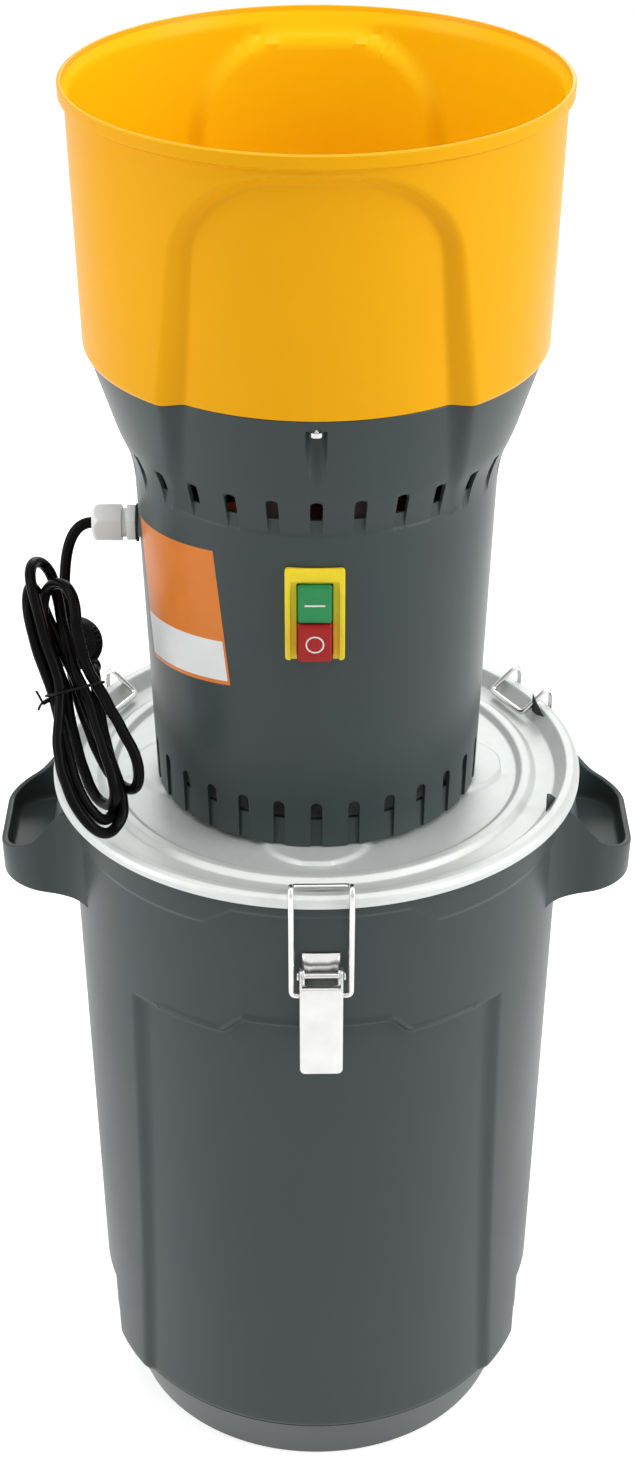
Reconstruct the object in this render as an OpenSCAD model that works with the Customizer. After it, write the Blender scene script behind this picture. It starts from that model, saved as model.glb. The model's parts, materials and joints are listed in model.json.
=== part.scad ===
// Electric grain mill standing on its flour drum.
// Millimetres, +Z up, front towards -Y, origin at the centre of the drum's base.

/* [Drum] */
// Height of the drum to the top of its rim flange
drum_h = 551.8; // [500:0.1:620]
// Radius that the tapered drum wall would have at the floor
drum_r = 168.1; // [160:0.1:172]
// Growth of the wall's radius for each millimetre of height
drum_draft = 0.02; // [0.01:0.001:0.022]
// Thickness of the drum's moulded wall
drum_wall = 3; // [2.4:0.1:3.6]
// Height of the tapered foot under the wall
foot_h = 46; // [36:1:60]
// How far the foot's top is set in from the nominal wall
foot_in = 4.5; // [4.3:0.1:13]
// How far the flat that the drum stands on is set in from the nominal wall
base_in = 21; // [14:0.5:38]
// Depth of the flat panels in the front and back of the wall
panel_depth = 4.5; // [3:0.1:5.5]
// Height of the top edge of each panel
panel_top = 430; // [380:1:436]
// Rise of the panel's top edge under the latch
panel_rise = 15; // [8:1:18]
// Half width of a panel's floor at mid height
panel_half_w = 122.2; // [110:0.1:130]
// Distance from the rim down to the start of the thicker collar
collar_drop = 31.8; // [28:0.1:40]
// How far the collar stands out from the wall
collar_step = 1.4; // [0.8:0.1:1.8]
// Rise of the collar's lower edge above each latch
collar_rise = 15; // [8:1:16]

/* [Handles] */
// Half width of a handle
handle_half_w = 54; // [48:1:60]
// Reach of a handle beyond the nominal wall
handle_out = 60.9; // [54:0.1:70]
// Radius of the handle's outer corners
handle_corner_r = 30; // [20:1:34]
// Thickness of the handle's lip
handle_wall = 4; // [3:0.1:5]
// Depth of the handle's lower edge below the rim, at the wall
handle_drop = 83.8; // [78:0.1:90]
// Depth of the pocket's floor below the rim
pocket_drop = 62; // [56:1:66]

/* [Lid] */
// How far the pressed lid's edge stands out from the drum's nominal wall
lid_over = 21.9; // [20:0.1:28]
// Thickness of the lid's sheet
lid_t = 1.2; // [0.8:0.1:1.6]
// Height of the lid's rim bead above its flat
bead_h = 9.8; // [8:0.1:12]
// Height of the stiffening ring
ring_h = 3.6; // [2:0.1:5]
// Distance of the stiffening ring's centre in from the lid's edge
ring_in = 38.5; // [34:0.5:44]
// Height of the four round pads that carry the housing
pad_h = 2.5; // [1.5:0.1:4]
// Radius of each pad
pad_r = 40; // [34:1:42]
// Distance of the pads from the axis
pad_pcd_r = 96; // [92:1:100]
// Thickness of the rubber gasket
gasket_h = 4.4; // [3.5:0.1:6]

/* [Housing] */
// Height of the motor housing
house_h = 325; // [300:1:350]
// Radius of the housing at its lower edge
neck_low_r = 114.8; // [112:0.1:117]
// Radius of the housing below the collar
neck_top_r = 122.3; // [120:0.1:124]
// Radius of the housing's top edge
seam_r = 150.8; // [148:0.1:152]
// Height of the flared collar
flare_h = 76; // [66:1:84]
// Radius at the seam inside the front and back recesses
recess_seam_r = 141; // [139:0.1:143]
// Thickness of the housing's wall
house_wall = 3; // [2.4:0.1:3.5]
// Number of air slots in each row
slots = 28; // [20:1:30]
// Width of an air slot
slot_w = 8; // [6:0.1:9]
// Height of the through part of an air slot
slot_h = 15; // [12:0.5:18]
// Height of the lower slots' tops above the housing's edge
low_slot_top = 36; // [30:1:44]
// Height of the upper slots' tops above the housing's edge
high_slot_top = 265; // [255:1:270]
// Radius of the scoop over each hopper screw
scoop_r = 6.85; // [6:0.05:7.5]

/* [Hopper] */
// Height of the hopper above the seam
hopper_h = 170.7; // [150:0.1:200]
// Radius of the hopper's wall at the bottom
hopper_low_r = 153.5; // [152:0.1:155]
// Radius of the hopper's wall at the top
hopper_top_r = 157.6; // [156:0.1:159]
// Radius of the hopper's rim
rim_r = 161; // [160:0.1:164]
// Height of the rim band
rim_h = 10.5; // [7:0.5:14]
// Thickness of the hopper's wall
hopper_wall = 3; // [2.4:0.1:3.4]
// Depth of the arched recesses at their top
arch_depth = 8; // [6:0.1:9]
// Half width of the arched recesses at the seam
arch_half_w = 84; // [76:1:88]
// Distance from the rim down to the top of the arch
arch_drop = 15; // [12:1:22]
// Radius of the arch's upper corners
arch_corner_r = 45; // [35:1:50]
// Slope of the funnel's floor in degrees
funnel_slope = 33; // [30:1:36]
// Radius of the feed opening
feed_r = 16; // [12:0.5:18]

/* [Switch] */
// Width of the switch plate
plate_w = 39; // [37:0.5:46]
// Height of the switch plate
plate_h = 66; // [62:0.5:76]
// How far the plate's face stands out from the housing
plate_proud = 3.6; // [3:0.1:5]
// Height of the plate's middle above the housing's edge
plate_z = 184; // [150:1:190]
// Width of both buttons
button_w = 22.4; // [19:0.1:24]
// Height of each button
button_h = 26; // [23:0.1:27]
// How far the green button's face stands out from the plate
on_proud = 3.4; // [3.2:0.1:5]
// How far the red button's face stands out from the plate
off_proud = 6.4; // [5.5:0.1:8]

/* [Cable gland] */
// Height of the gland's axis above the housing's edge
gland_z = 190.8; // [180:0.1:215]
// Width across the corners of the gland's nut
gland_corner = 27.5; // [25:0.1:30]
// Length of the gland's nut
gland_nut_l = 20.7; // [17:0.1:24]
// Diameter of the mains cord
cord_d = 7.7; // [7:0.1:8]

/* [Latches] */
// Diameter of the bail's wire
wire_d = 4.2; // [3.6:0.1:4.4]
// Width of a bail over its legs
bail_w = 45; // [44:0.5:50]
// Width of a latch lever
lever_w = 29.5; // [28:0.1:31]
// Length of a lever below its pivot
lever_l = 79; // [65:1:90]
// Thickness of the latch's sheet steel
latch_t = 1.5; // [1.2:0.1:1.8]
// Distance from the rim down to the latch's pivot
pivot_drop = 57.8; // [55:0.1:62]
// How far the latch's pivot stands out from the drum's nominal wall
pivot_out = 19.4; // [18:0.1:21]
// Radius of the latch's pivot pin
pin_r = 2; // [1.6:0.1:2.4]
// Distance of the bail's eyes below the pivot
eye_drop = 15.5; // [13:0.1:17]

/* [Motor and mill] */
// Outer radius of the motor's can
motor_r = 62; // [57:0.5:63]
// Length of the motor's can
motor_l = 186; // [160:1:200]
// Radius of the motor's shaft
shaft_r = 8.5; // [7:0.1:9.5]
// Radius of the sieve
sieve_r = 116; // [112:1:120]
// Height of the milling chamber below the lid
chamber_h = 58; // [48:1:80]
// Running gap between the beaters and the sieve
beater_gap = 4; // [2:0.5:8]

/* [Hidden] */

seat_gap = 0.3;   // between pieces that rest on each other
run_gap = 0.06;   // radial clearance of a running fit
lap = 1;          // overlap that keeps joined solids whole
$fn = 96;

// Radii that follow the drum's nominal wall
lid_r = drum_r + lid_over;
ring_r = lid_r - ring_in;
pivot_r = drum_r + pivot_out;
handle_reach = drum_r + handle_out;
foot_r = drum_r - foot_in;
base_r = drum_r - base_in;

// Heights of the stacked parts
gasket_z = drum_h + seat_gap;
bead_z = gasket_z + gasket_h + seat_gap + lid_t;
lid_z = bead_z - bead_h;
house_z = lid_z + pad_h + seat_gap;
seam_z = house_z + house_h;
hopper_z = seam_z + seat_gap;
rim_z = hopper_z + hopper_h;
under_z = lid_z - lid_t;

function wall_r(z) = drum_r + drum_draft * z;
function arc(cx, cy, r, a0, a1, n = 6) =
    [for (i = [0:n]) let (a = a0 + (a1 - a0) * i / n) [cx + r * cos(a), cy + r * sin(a)]];

// ---- Recess in a turned wall: everything outside a conical floor, between two leaning flanks.
// half_w is the floor's half width at height z_ref, floor_r its radius there.
module flank(half_w, floor_r, z_ref, lean, run, rise) {
    far = 500;
    y_in = -sqrt(floor_r * floor_r - half_w * half_w);
    steps = 6;
    translate([0, 0, z_ref]) rotate([0, -lean, 0]) translate([0, 0, -far])
        linear_extrude(2 * far)
            polygon([[-far, -40], [half_w, -40], [half_w, y_in],
                [half_w + steps * run, y_in + steps * rise], [half_w + steps * run, -far], [-far, -far]]);
}

module between_flanks(half_w, floor_r, z_ref, lean, run, rise) {
    intersection() {
        flank(half_w, floor_r, z_ref, lean, run, rise);
        mirror([1, 0, 0]) flank(half_w, floor_r, z_ref, lean, run, rise);
    }
}

// Turned ring from z0 to z1 outside the radii r0 and r1, its top sloping outwards over slope_h
module outer_ring(z0, z1, r0, r1, depth, slope_h) {
    far_r = 230;
    out = far_r - r1;
    rotate_extrude() polygon([[r0, z0], [far_r, z0], [far_r, z1 + slope_h * out / depth], [r1, z1]]);
}

// ---------------------------------------------------------------- drum
collar_z = drum_h - collar_drop;
flange_h = 3.2;
flange_r = lid_r - lid_t - 2.3;
latch_turn = 1;                     // the front latch sits a degree off the axis
latch_angles = [latch_turn, latch_turn + 120, latch_turn + 240];
panel_mid_z = (panel_top + foot_h) / 2;
panel_slope_h = 8;
rise_half_low = 66;
rise_half_high = 53;

module drum_panel(w) {
    low_r = wall_r(foot_h) - panel_depth - w;
    high_z = panel_top - panel_slope_h + w;
    top_r = wall_r(high_z) - panel_depth - w;
    low_z = foot_h - 20;
    intersection() {
        outer_ring(low_z, high_z, low_r - 20 * drum_draft, top_r, panel_depth, panel_slope_h);
        between_flanks(panel_half_w + w, wall_r(panel_mid_z) - panel_depth - w, panel_mid_z, 1.75, 8, 3.2);
    }
    rise_z = high_z + panel_rise;
    rise_r = wall_r(rise_z) - panel_depth - w;
    intersection() {
        outer_ring(high_z - 30, rise_z, top_r - 30 * drum_draft, rise_r, panel_depth, panel_slope_h);
        rotate([90, 0, 0]) linear_extrude(300) polygon([
            [-rise_half_low - w - 20, high_z - 20], [-rise_half_low - w, high_z],
            [-rise_half_high - w, rise_z], [-rise_half_high - w, rise_z + 20],
            [rise_half_high + w, rise_z + 20], [rise_half_high + w, rise_z],
            [rise_half_low + w, high_z], [rise_half_low + w + 20, high_z - 20]]);
    }
}

module drum_outside() {
    difference() {
        union() {
            rotate_extrude() polygon([[0, 0], [base_r, 0], [foot_r, foot_h],
                [wall_r(foot_h), foot_h], [wall_r(drum_h - flange_h), drum_h - flange_h],
                [flange_r, drum_h - flange_h], [flange_r, drum_h], [0, drum_h]]);
            drum_collar();
        }
        for (a = [0, 180]) rotate([0, 0, a]) drum_panel(0);
        for (a = [90, 270]) rotate([0, 0, a]) side_notch();
    }
}

// Thicker collar under the rim; its lower edge steps up over each latch
module drum_collar() {
    top_z = drum_h - 1;
    rise_z = collar_z + collar_rise;
    difference() {
        rotate_extrude() polygon([[wall_r(collar_z) - 1, collar_z - 1],
            [wall_r(collar_z) + collar_step, collar_z + collar_step],
            [wall_r(top_z) + collar_step, top_z], [wall_r(top_z) - 1, top_z]]);
        for (a = latch_angles) rotate([0, 0, a]) rotate([90, 0, 0]) linear_extrude(300)
            polygon([[-86, rise_z - 19], [-61, rise_z], [61, rise_z], [86, rise_z - 19]]);
    }
}

// Shallow stacking notch low on each side
module side_notch() {
    depth = 4;
    low_z = foot_h - lap;
    high_z = 100;
    intersection() {
        outer_ring(low_z, high_z, wall_r(low_z) - depth, wall_r(high_z) - depth, depth, 5);
        translate([-57, -300, 0]) cube([114, 300, drum_h]);
    }
}

module drum_inside() {
    inner_collar_z = collar_z + collar_rise + 5;
    difference() {
        rotate_extrude() polygon([[0, drum_wall], [base_r - drum_wall, drum_wall],
            [foot_r - drum_wall, foot_h + drum_wall / 2], [wall_r(foot_h) - drum_wall, foot_h + drum_wall],
            [wall_r(inner_collar_z) - drum_wall, inner_collar_z],
            [wall_r(inner_collar_z) + collar_step - drum_wall, inner_collar_z + collar_step],
            [wall_r(drum_h) + collar_step - drum_wall, drum_h + lap], [0, drum_h + lap]]);
        for (a = [0, 180]) rotate([0, 0, a]) drum_panel(drum_wall);
        for (a = [90, 270]) rotate([0, 0, a]) translate([-60, -300, 0])
            intersection() {
                cube([120, 300, 105]);
                translate([60, 300, 0]) outer_ring(foot_h, 100 + drum_wall,
                    wall_r(foot_h) - 4 - drum_wall, wall_r(100) - 4 - drum_wall, 4, 5);
            }
    }
}

handle_low_z = drum_h - handle_drop;
pocket_z = drum_h - pocket_drop;
handle_root_r = wall_r(pocket_z);
handle_tip_top_z = drum_h - 47.3;   // the lip slopes down from the wall to here
lip_slope = 23;
lip_bend_x = handle_reach - 24;     // nearer the wall the lip sweeps up more steeply
lip_bend_z = handle_tip_top_z + 24 * tan(lip_slope);
root_slope = 50;
handle_rise = 10.5;                 // slope of the lower edge towards the tip

module handle_outline(inset) {
    half_w = handle_half_w - inset;
    corner = handle_corner_r - inset;
    tip = handle_reach - inset;
    root = drum_r - 8 + inset;
    translate([root, -half_w]) square([tip - corner - root, 2 * half_w]);
    for (s = [-1, 1]) translate([tip - corner, s * (half_w - corner)]) circle(corner);
    translate([tip - 2 * corner, -half_w + corner]) square([2 * corner, 2 * (half_w - corner)]);
}

module above_plane(x, z, slope) {
    translate([x, 0, z]) rotate([0, slope, 0]) translate([-200, -150, 0]) cube([300, 300, 100]);
}

// Everything above the lip of a handle
module above_lip() {
    intersection() {
        above_plane(handle_reach, handle_tip_top_z, lip_slope);
        above_plane(lip_bend_x, lip_bend_z, root_slope);
    }
}

module handle_outer() {
    difference() {
        union() {
            translate([0, 0, handle_low_z]) linear_extrude(drum_h - 12 - handle_low_z) handle_outline(0);
            translate([0, 0, handle_low_z]) linear_extrude(drum_h - 12 - handle_low_z)
                polygon([[drum_r - 8, -handle_half_w - 12], [drum_r + 22, -handle_half_w + lap],
                    [drum_r + 22, handle_half_w - lap], [drum_r - 8, handle_half_w + 12]]);
        }
        above_lip();
        // the lower edge rises towards the tip
        translate([drum_r + 3, -150, handle_low_z]) rotate([0, -handle_rise, 0])
            translate([-30, 0, -100]) cube([200, 300, 100]);
    }
}

module handle_pocket() {
    difference() {
        translate([0, 0, pocket_z]) linear_extrude(120) handle_outline(handle_wall);
        translate([0, 0, pocket_z - lap])
            cylinder(h = 121, r1 = drum_r + 26.9, r2 = drum_r + 26.9 - 121 * 0.18);
    }
}

module handle_grip() {
    floor_t = 3;
    difference() {
        translate([0, 0, handle_low_z - lap])
            linear_extrude(pocket_z - floor_t - handle_low_z + lap) handle_outline(handle_wall);
        translate([0, 0, handle_low_z - 2 * lap])
            cylinder(h = 60, r1 = wall_r(handle_low_z) + 6, r2 = wall_r(handle_low_z + 60) + 12);
    }
}

module drum() {
    color([0.21, 0.24, 0.24]) difference() {
        union() {
            drum_outside();
            for (a = [0, 180]) rotate([0, 0, a]) handle_outer();
        }
        drum_inside();
        for (a = [0, 180]) rotate([0, 0, a]) {
            handle_pocket();
            handle_grip();
        }
    }
}

// ---------------------------------------------------------------- lid
bead_top_in = lid_r - 9.5;
bead_top_out = lid_r - 4.5;
bead_foot_r = lid_r - 17.5;
lid_edge_z = lid_z + 1.3;
gasket_in_r = bead_top_in + 0.8;
gasket_out_r = bead_top_out - 0.6;

module lid_gasket() {
    color([0.12, 0.12, 0.12]) translate([0, 0, gasket_z]) difference() {
        cylinder(h = gasket_h, r = gasket_out_r);
        translate([0, 0, -lap]) cylinder(h = gasket_h + 2 * lap, r = gasket_in_r);
    }
}

// Section of the pressed sheet, as its upper line for drop 0 and its lower line for drop 1
function lid_line(drop) = [
    [ring_r - 7 + drop * 0.3, lid_z - drop * lid_t],
    [ring_r - 3 + drop * 0.3, lid_z + ring_h - drop * lid_t],
    [ring_r + 3 - drop * 0.3, lid_z + ring_h - drop * lid_t],
    [ring_r + 7 - drop * 0.3, lid_z - drop * lid_t],
    [bead_foot_r + drop * 0.8, lid_z - drop * lid_t],
    [bead_top_in - 1.5 + drop * 0.5, bead_z - 1.6 - drop * lid_t],
    [bead_top_in + drop * 0.3, bead_z - drop * lid_t],
    [bead_top_out - drop * 0.3, bead_z - drop * lid_t],
    [lid_r - 1.3 - drop, bead_z - 1.8 - drop * lid_t * 0.6],
    [lid_r - drop * lid_t, bead_z - 4.6 - drop * 0.2],
    [lid_r - drop * lid_t, lid_edge_z]];

shaft_hole_r = 20;
feed_y = pad_pcd_r - 8;             // the feed tube comes down behind the motor
tube_r = feed_r + 4;

module lid() {
    low = lid_line(1);
    n = len(low);
    color([0.72, 0.75, 0.73]) difference() {
        union() {
            rotate_extrude() polygon(concat([[0, lid_z]], lid_line(0),
                [for (i = [n - 1:-1:0]) low[i]], [[0, under_z]]));
            for (a = [0:90:270]) rotate([0, 0, a]) translate([0, pad_pcd_r, under_z + 0.1])
                cylinder(h = pad_h + lid_t - 0.1, r1 = pad_r, r2 = pad_r - 3);
        }
        for (a = [0:90:270]) rotate([0, 0, a]) translate([0, pad_pcd_r, under_z - 0.1])
            cylinder(h = pad_h + 0.1, r1 = pad_r - 1, r2 = pad_r - 4);
        translate([0, 0, under_z - lap]) cylinder(h = 10, r = shaft_hole_r);
        translate([0, feed_y, under_z - lap]) cylinder(h = 10, r = tube_r + seat_gap);
        for (a = bolt_angles) rotate([0, 0, a]) translate([bolt_pcd_r, 0, under_z - lap])
            cylinder(h = 10, r = bolt_r + 0.2);
        for (a = lug_angles) rotate([0, 0, a]) translate([lug_pcd_r, 0, under_z - lap])
            cylinder(h = 10, r = screw_r + 0.2);
    }
}

// ---------------------------------------------------------------- motor housing
lug_angles = [45:90:315];
lug_r = 6;
lug_h = 16;
lug_pcd_r = neck_low_r - house_wall - lug_r + 1.5;
screw_r = 2;
flare_z = seam_z - flare_h;
neck_top_z = flare_z - 20;
flare_mid_r = neck_top_r + 4.4;
flare_mid_z = flare_z + 7;
flare_cone_r = neck_top_r + 11.1;
flare_cone_z = flare_z + 22;

function neck_r(z) = neck_low_r + (neck_top_r - neck_low_r) * (z - house_z) / (neck_top_z - house_z);

// Outside of the housing, drawn in by w
module housing_form(w) {
    difference() {
        rotate_extrude() polygon([[0, house_z - w], [neck_low_r - w, house_z - w],
            [neck_top_r - w, neck_top_z], [neck_top_r + 1 - w, neck_top_z + 12],
            [neck_top_r + 2.7 - w, flare_z], [flare_mid_r - w, flare_mid_z],
            [flare_cone_r - w, flare_cone_z], [seam_r - w, seam_z + w], [0, seam_z + w]]);
        for (a = [0, 180]) rotate([0, 0, a]) intersection() {
            outer_ring(flare_z - 3, seam_z + lap + w, neck_top_r + 2.1 - w,
                recess_seam_r + 0.3 - w, 100, 0);
            between_flanks(arch_half_w + w, recess_seam_r - w, seam_z, arch_lean, arch_run, arch_fall);
        }
    }
}

screw_y = recess_seam_r - 3.1;      // axis of the hopper screws
screw_head_z = seam_z - 7;

module air_slots(top_z, depth_r) {
    arch_r = slot_w / 2;
    for (i = [0:slots - 1]) rotate([0, 0, i * 360 / slots])
        translate([0, -depth_r, 0]) rotate([90, 0, 0]) linear_extrude(60) {
            translate([0, top_z - arch_r]) circle(arch_r, $fn = 24);
            translate([-arch_r, top_z - slot_h]) square([slot_w, slot_h - arch_r]);
        }
}

module motor_housing() {
    skirt_r = neck_low_r - 3.2;
    color([0.30, 0.34, 0.34]) difference() {
        union() {
            difference() {
                housing_form(0);
                housing_form(house_wall);
            }
            // inner skirt behind the lower notches
            translate([0, 0, house_z]) difference() {
                cylinder(h = low_slot_top - slot_h, r = skirt_r + 1.5);
                translate([0, 0, -lap]) cylinder(h = low_slot_top, r = skirt_r - 1.5);
            }
            intersection() {
                for (a = [0, 180]) rotate([0, 0, a]) translate([0, -screw_y, flare_cone_z])
                    cylinder(h = seam_z - flare_cone_z, r = scoop_r + house_wall);
                housing_form(0);
            }
            for (a = lug_angles) rotate([0, 0, a]) translate([lug_pcd_r, 0, house_z])
                cylinder(h = lug_h, r = lug_r);
        }
        air_slots(house_z + high_slot_top, neck_top_r - 8);
        air_slots(house_z + low_slot_top, neck_low_r - 8);
        // open notches from the lower slots down to the edge
        for (i = [0:slots - 1]) rotate([0, 0, i * 360 / slots])
            translate([-slot_w / 2, -neck_low_r - 10, house_z - lap])
                cube([slot_w, 10 + neck_low_r - skirt_r - 1.5, low_slot_top - slot_h + 2 * lap]);
        // grooves that run out below the upper slots
        for (i = [0:slots - 1]) rotate([0, 0, i * 360 / slots])
            translate([0, -neck_r(high_groove_z) - 1.5, high_groove_z])
                rotate([7, 0, 0]) translate([-slot_w / 2, -20, 0])
                    cube([slot_w, 20, house_z + high_slot_top - slot_h - high_groove_z + 2]);
        for (a = [0, 180]) rotate([0, 0, a]) translate([0, -screw_y, flare_cone_z - 20]) {
            cylinder(h = screw_head_z - flare_cone_z + 20, r = scoop_r);
            cylinder(h = 200, r = screw_r + 0.2);
        }
        translate([0, 0, house_z - lap]) for (a = lug_angles) rotate([0, 0, a])
            translate([lug_pcd_r, 0, 0]) cylinder(h = lug_h - 1, r = screw_r + 0.1);
        // window for the switch and the lower button's travel, and hole for the gland
        translate([plate_x - switch_w / 2 - 0.3, -150, off_z - 0.5])
            cube([switch_w + 0.6, 60, plate_mid_z + switch_hh / 2 + 0.8 - off_z]);
        translate([-90, 0, gland_mid_z]) rotate([0, -90, 0]) cylinder(h = 60, r = thread_r + 0.3);
    }
}
high_groove_z = house_z + 236;

module housing_screws() {
    color([0.6, 0.6, 0.6]) for (a = lug_angles) rotate([0, 0, a])
        translate([lug_pcd_r, 0, under_z - seat_gap]) {
            translate([0, 0, -2.6]) cylinder(h = 2.6, r = 3.8);
            translate([0, 0, -lap]) cylinder(h = lug_h - 2 + house_z - under_z, r = screw_r);
        }
}

// ---------------------------------------------------------------- motor
base_z = lid_z + seat_gap;
motor_base_h = 26;
can_z = base_z + motor_base_h + seat_gap;
can_top_z = can_z + motor_l;
can_wall = 2.5;
bearing_out_r = shaft_r + 12;
bearing_w = 12;
upper_bearing_z = can_top_z - bearing_w - 6;
lower_bearing_z = base_z + 8;
rotor_r = 32;
rotor_z = can_z + 0.172 * motor_l;
rotor_l = 0.462 * motor_l;
stator_bore_r = rotor_r + 0.6;
fan_z = rotor_z + rotor_l + 0.097 * motor_l;
fan_h = 12;

module motor_can() {
    dome = 14;
    in_r = motor_r - can_wall;
    color([0.36, 0.12, 0.09]) difference() {
        translate([0, 0, can_z]) rotate_extrude() polygon(concat([[0, 0], [motor_r, 0]],
            arc(motor_r - dome, motor_l - dome, dome, 0, 90), [[0, motor_l]]));
        translate([0, 0, can_z]) rotate_extrude() polygon(concat([[0, -lap], [in_r, -lap]],
            arc(in_r - dome, motor_l - can_wall - dome, dome, 0, 90),
            [[bearing_out_r + 4, motor_l - can_wall], [bearing_out_r + 4, motor_l - bearing_w - 6],
             [0, motor_l - bearing_w - 6]]));
        translate([0, 0, upper_bearing_z - lap]) cylinder(h = bearing_w + lap, r = bearing_out_r + seat_gap);
    }
}

module motor_base() {
    flange_t = 8;
    color([0.62, 0.63, 0.64]) difference() {
        union() {
            translate([0, 0, base_z]) cylinder(h = motor_base_h, r = motor_r - 7);
            translate([0, 0, base_z + motor_base_h - flange_t]) cylinder(h = flange_t, r = motor_r);
            translate([0, 0, can_z - lap]) cylinder(h = 6, r = motor_r - can_wall - seat_gap);
        }
        translate([0, 0, lower_bearing_z])
            cylinder(h = 2 * motor_base_h, r = bearing_out_r + seat_gap);
        translate([0, 0, base_z - lap]) cylinder(h = 2 * motor_base_h, r = shaft_r + 2);
        for (a = bolt_angles) rotate([0, 0, a]) translate([bolt_pcd_r, 0, base_z - lap])
            cylinder(h = 16, r = bolt_r + 0.2);
    }
}

module stator() {
    color([0.45, 0.20, 0.12]) translate([0, 0, rotor_z]) difference() {
        cylinder(h = rotor_l, r = motor_r - can_wall - seat_gap);
        translate([0, 0, -lap]) cylinder(h = rotor_l + 2 * lap, r = stator_bore_r);
        for (a = [0:15:345]) rotate([0, 0, a]) translate([stator_bore_r - lap, -1.5, -lap])
            cube([12, 3, rotor_l + 2 * lap]);
    }
}

module rotor_core() {
    color([0.5, 0.5, 0.52]) translate([0, 0, rotor_z]) difference() {
        cylinder(h = rotor_l, r = rotor_r);
        translate([0, 0, -lap]) cylinder(h = rotor_l + 2 * lap, r = shaft_r + seat_gap);
    }
}

module cooling_fan() {
    core_r = shaft_r + 7;
    color([0.15, 0.15, 0.16]) translate([0, 0, fan_z]) difference() {
        union() {
            cylinder(h = fan_h, r = core_r);
            cylinder(h = 2, r = motor_r - can_wall - 12);
            for (a = [0:40:320]) rotate([0, 0, a]) translate([core_r - lap, -1, 0])
                cube([motor_r - can_wall - 12 - core_r, 2, fan_h]);
        }
        translate([0, 0, -lap]) cylinder(h = fan_h + 2 * lap, r = shaft_r + seat_gap);
    }
}

module bearing(z) {
    color([0.7, 0.7, 0.72]) translate([0, 0, z]) difference() {
        cylinder(h = bearing_w, r = bearing_out_r);
        translate([0, 0, -lap]) cylinder(h = bearing_w + 2 * lap, r = shaft_r + run_gap);
        for (s = [-1, bearing_w - 1.5]) translate([0, 0, s]) difference() {
            cylinder(h = 2.5, r = bearing_out_r - 3);
            translate([0, 0, -lap]) cylinder(h = 5, r = shaft_r + 3);
        }
    }
}

module upper_bearing() { bearing(upper_bearing_z); }
module lower_bearing() { bearing(lower_bearing_z); }

hub_h = 18;
hub_r = shaft_r + 13.5;
hub_z = under_z - chamber_h / 2 - hub_h / 2;
nut_h = 8;

module motor_shaft() {
    top_z = upper_bearing_z + bearing_w - 2;
    low_z = hub_z - nut_h - 4;
    color([0.66, 0.67, 0.68]) translate([0, 0, low_z]) cylinder(h = top_z - low_z, r = shaft_r);
}

module capacitor() {
    color([0.80, 0.35, 0.10]) rotate([0, 0, cap_angle]) translate([cap_pcd_r, 0, cap_z])
        cylinder(h = cap_h, r = cap_r);
}
cap_r = 17;
cap_h = 84;
cap_angle = 230;
cap_pcd_r = motor_r + cap_r + 4;
cap_z = can_top_z + 18 - cap_h;

module capacitor_clip() {
    clip_t = 2;
    clip_h = 14;
    color([0.6, 0.6, 0.6]) rotate([0, 0, cap_angle]) translate([0, 0, cap_z + cap_h / 3]) difference() {
        union() {
            translate([cap_pcd_r, 0, 0]) cylinder(h = clip_h, r = cap_r + seat_gap + clip_t);
            translate([motor_r - 4, -8, 2]) cube([12, 16, clip_h - 4]);
        }
        translate([cap_pcd_r, 0, -lap]) cylinder(h = clip_h + 2 * lap, r = cap_r + seat_gap);
        translate([0, 0, -lap]) cylinder(h = clip_h + 2 * lap, r = motor_r + seat_gap);
    }
}

// ---------------------------------------------------------------- milling chamber
bolt_angles = [45:90:315];
bolt_r = 3;
bolt_pcd_r = motor_r - 14;
sieve_t = 1.5;
floor_t = 3;
floor_z = under_z - chamber_h;
rod_pcd_r = sieve_r + 8;
rod_angles = [45:90:315];

module sieve() {
    rows = 30;
    color([0.66, 0.68, 0.69]) translate([0, 0, floor_z + seat_gap]) difference() {
        cylinder(h = chamber_h - 2 * seat_gap, r = sieve_r);
        translate([0, 0, -lap]) cylinder(h = chamber_h + 2 * lap, r = sieve_r - sieve_t);
        for (i = [0:rows - 1]) rotate([0, 0, i * 360 / rows])
            translate([sieve_r - 5, -2, 6]) cube([10, 4, chamber_h - 12]);
    }
}

module chamber_floor() {
    color([0.60, 0.62, 0.63]) translate([0, 0, floor_z - floor_t]) difference() {
        cylinder(h = floor_t, r = rod_pcd_r + 8);
        for (a = rod_angles) rotate([0, 0, a]) translate([rod_pcd_r, 0, -lap])
            cylinder(h = floor_t + 2 * lap, r = bolt_r + 0.2);
    }
}

// Four rods hang the chamber's floor from the lid, four bolts hold the motor's base
module chamber_bolts() {
    head_h = 4;
    color([0.6, 0.6, 0.6]) {
        for (a = rod_angles) rotate([0, 0, a]) translate([rod_pcd_r, 0, 0]) {
            translate([0, 0, floor_z - floor_t - seat_gap - head_h]) cylinder(h = head_h, r = 5, $fn = 6);
            translate([0, 0, floor_z - floor_t - lap])
                cylinder(h = chamber_h + floor_t + lap - seat_gap, r = bolt_r);
        }
        for (a = bolt_angles) rotate([0, 0, a]) translate([bolt_pcd_r, 0, 0]) {
            translate([0, 0, under_z - seat_gap - head_h]) cylinder(h = head_h, r = 5, $fn = 6);
            translate([0, 0, under_z - seat_gap - lap]) cylinder(h = 16, r = bolt_r);
        }
    }
}

module beater_hub() {
    color([0.55, 0.56, 0.57]) translate([0, 0, hub_z]) difference() {
        union() {
            cylinder(h = hub_h, r = hub_r);
            translate([0, 0, hub_h / 2 - 4]) cylinder(h = 4, r = hub_r + 12);
        }
        translate([0, 0, -lap]) cylinder(h = hub_h + 2 * lap, r = shaft_r + seat_gap);
    }
}

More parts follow.
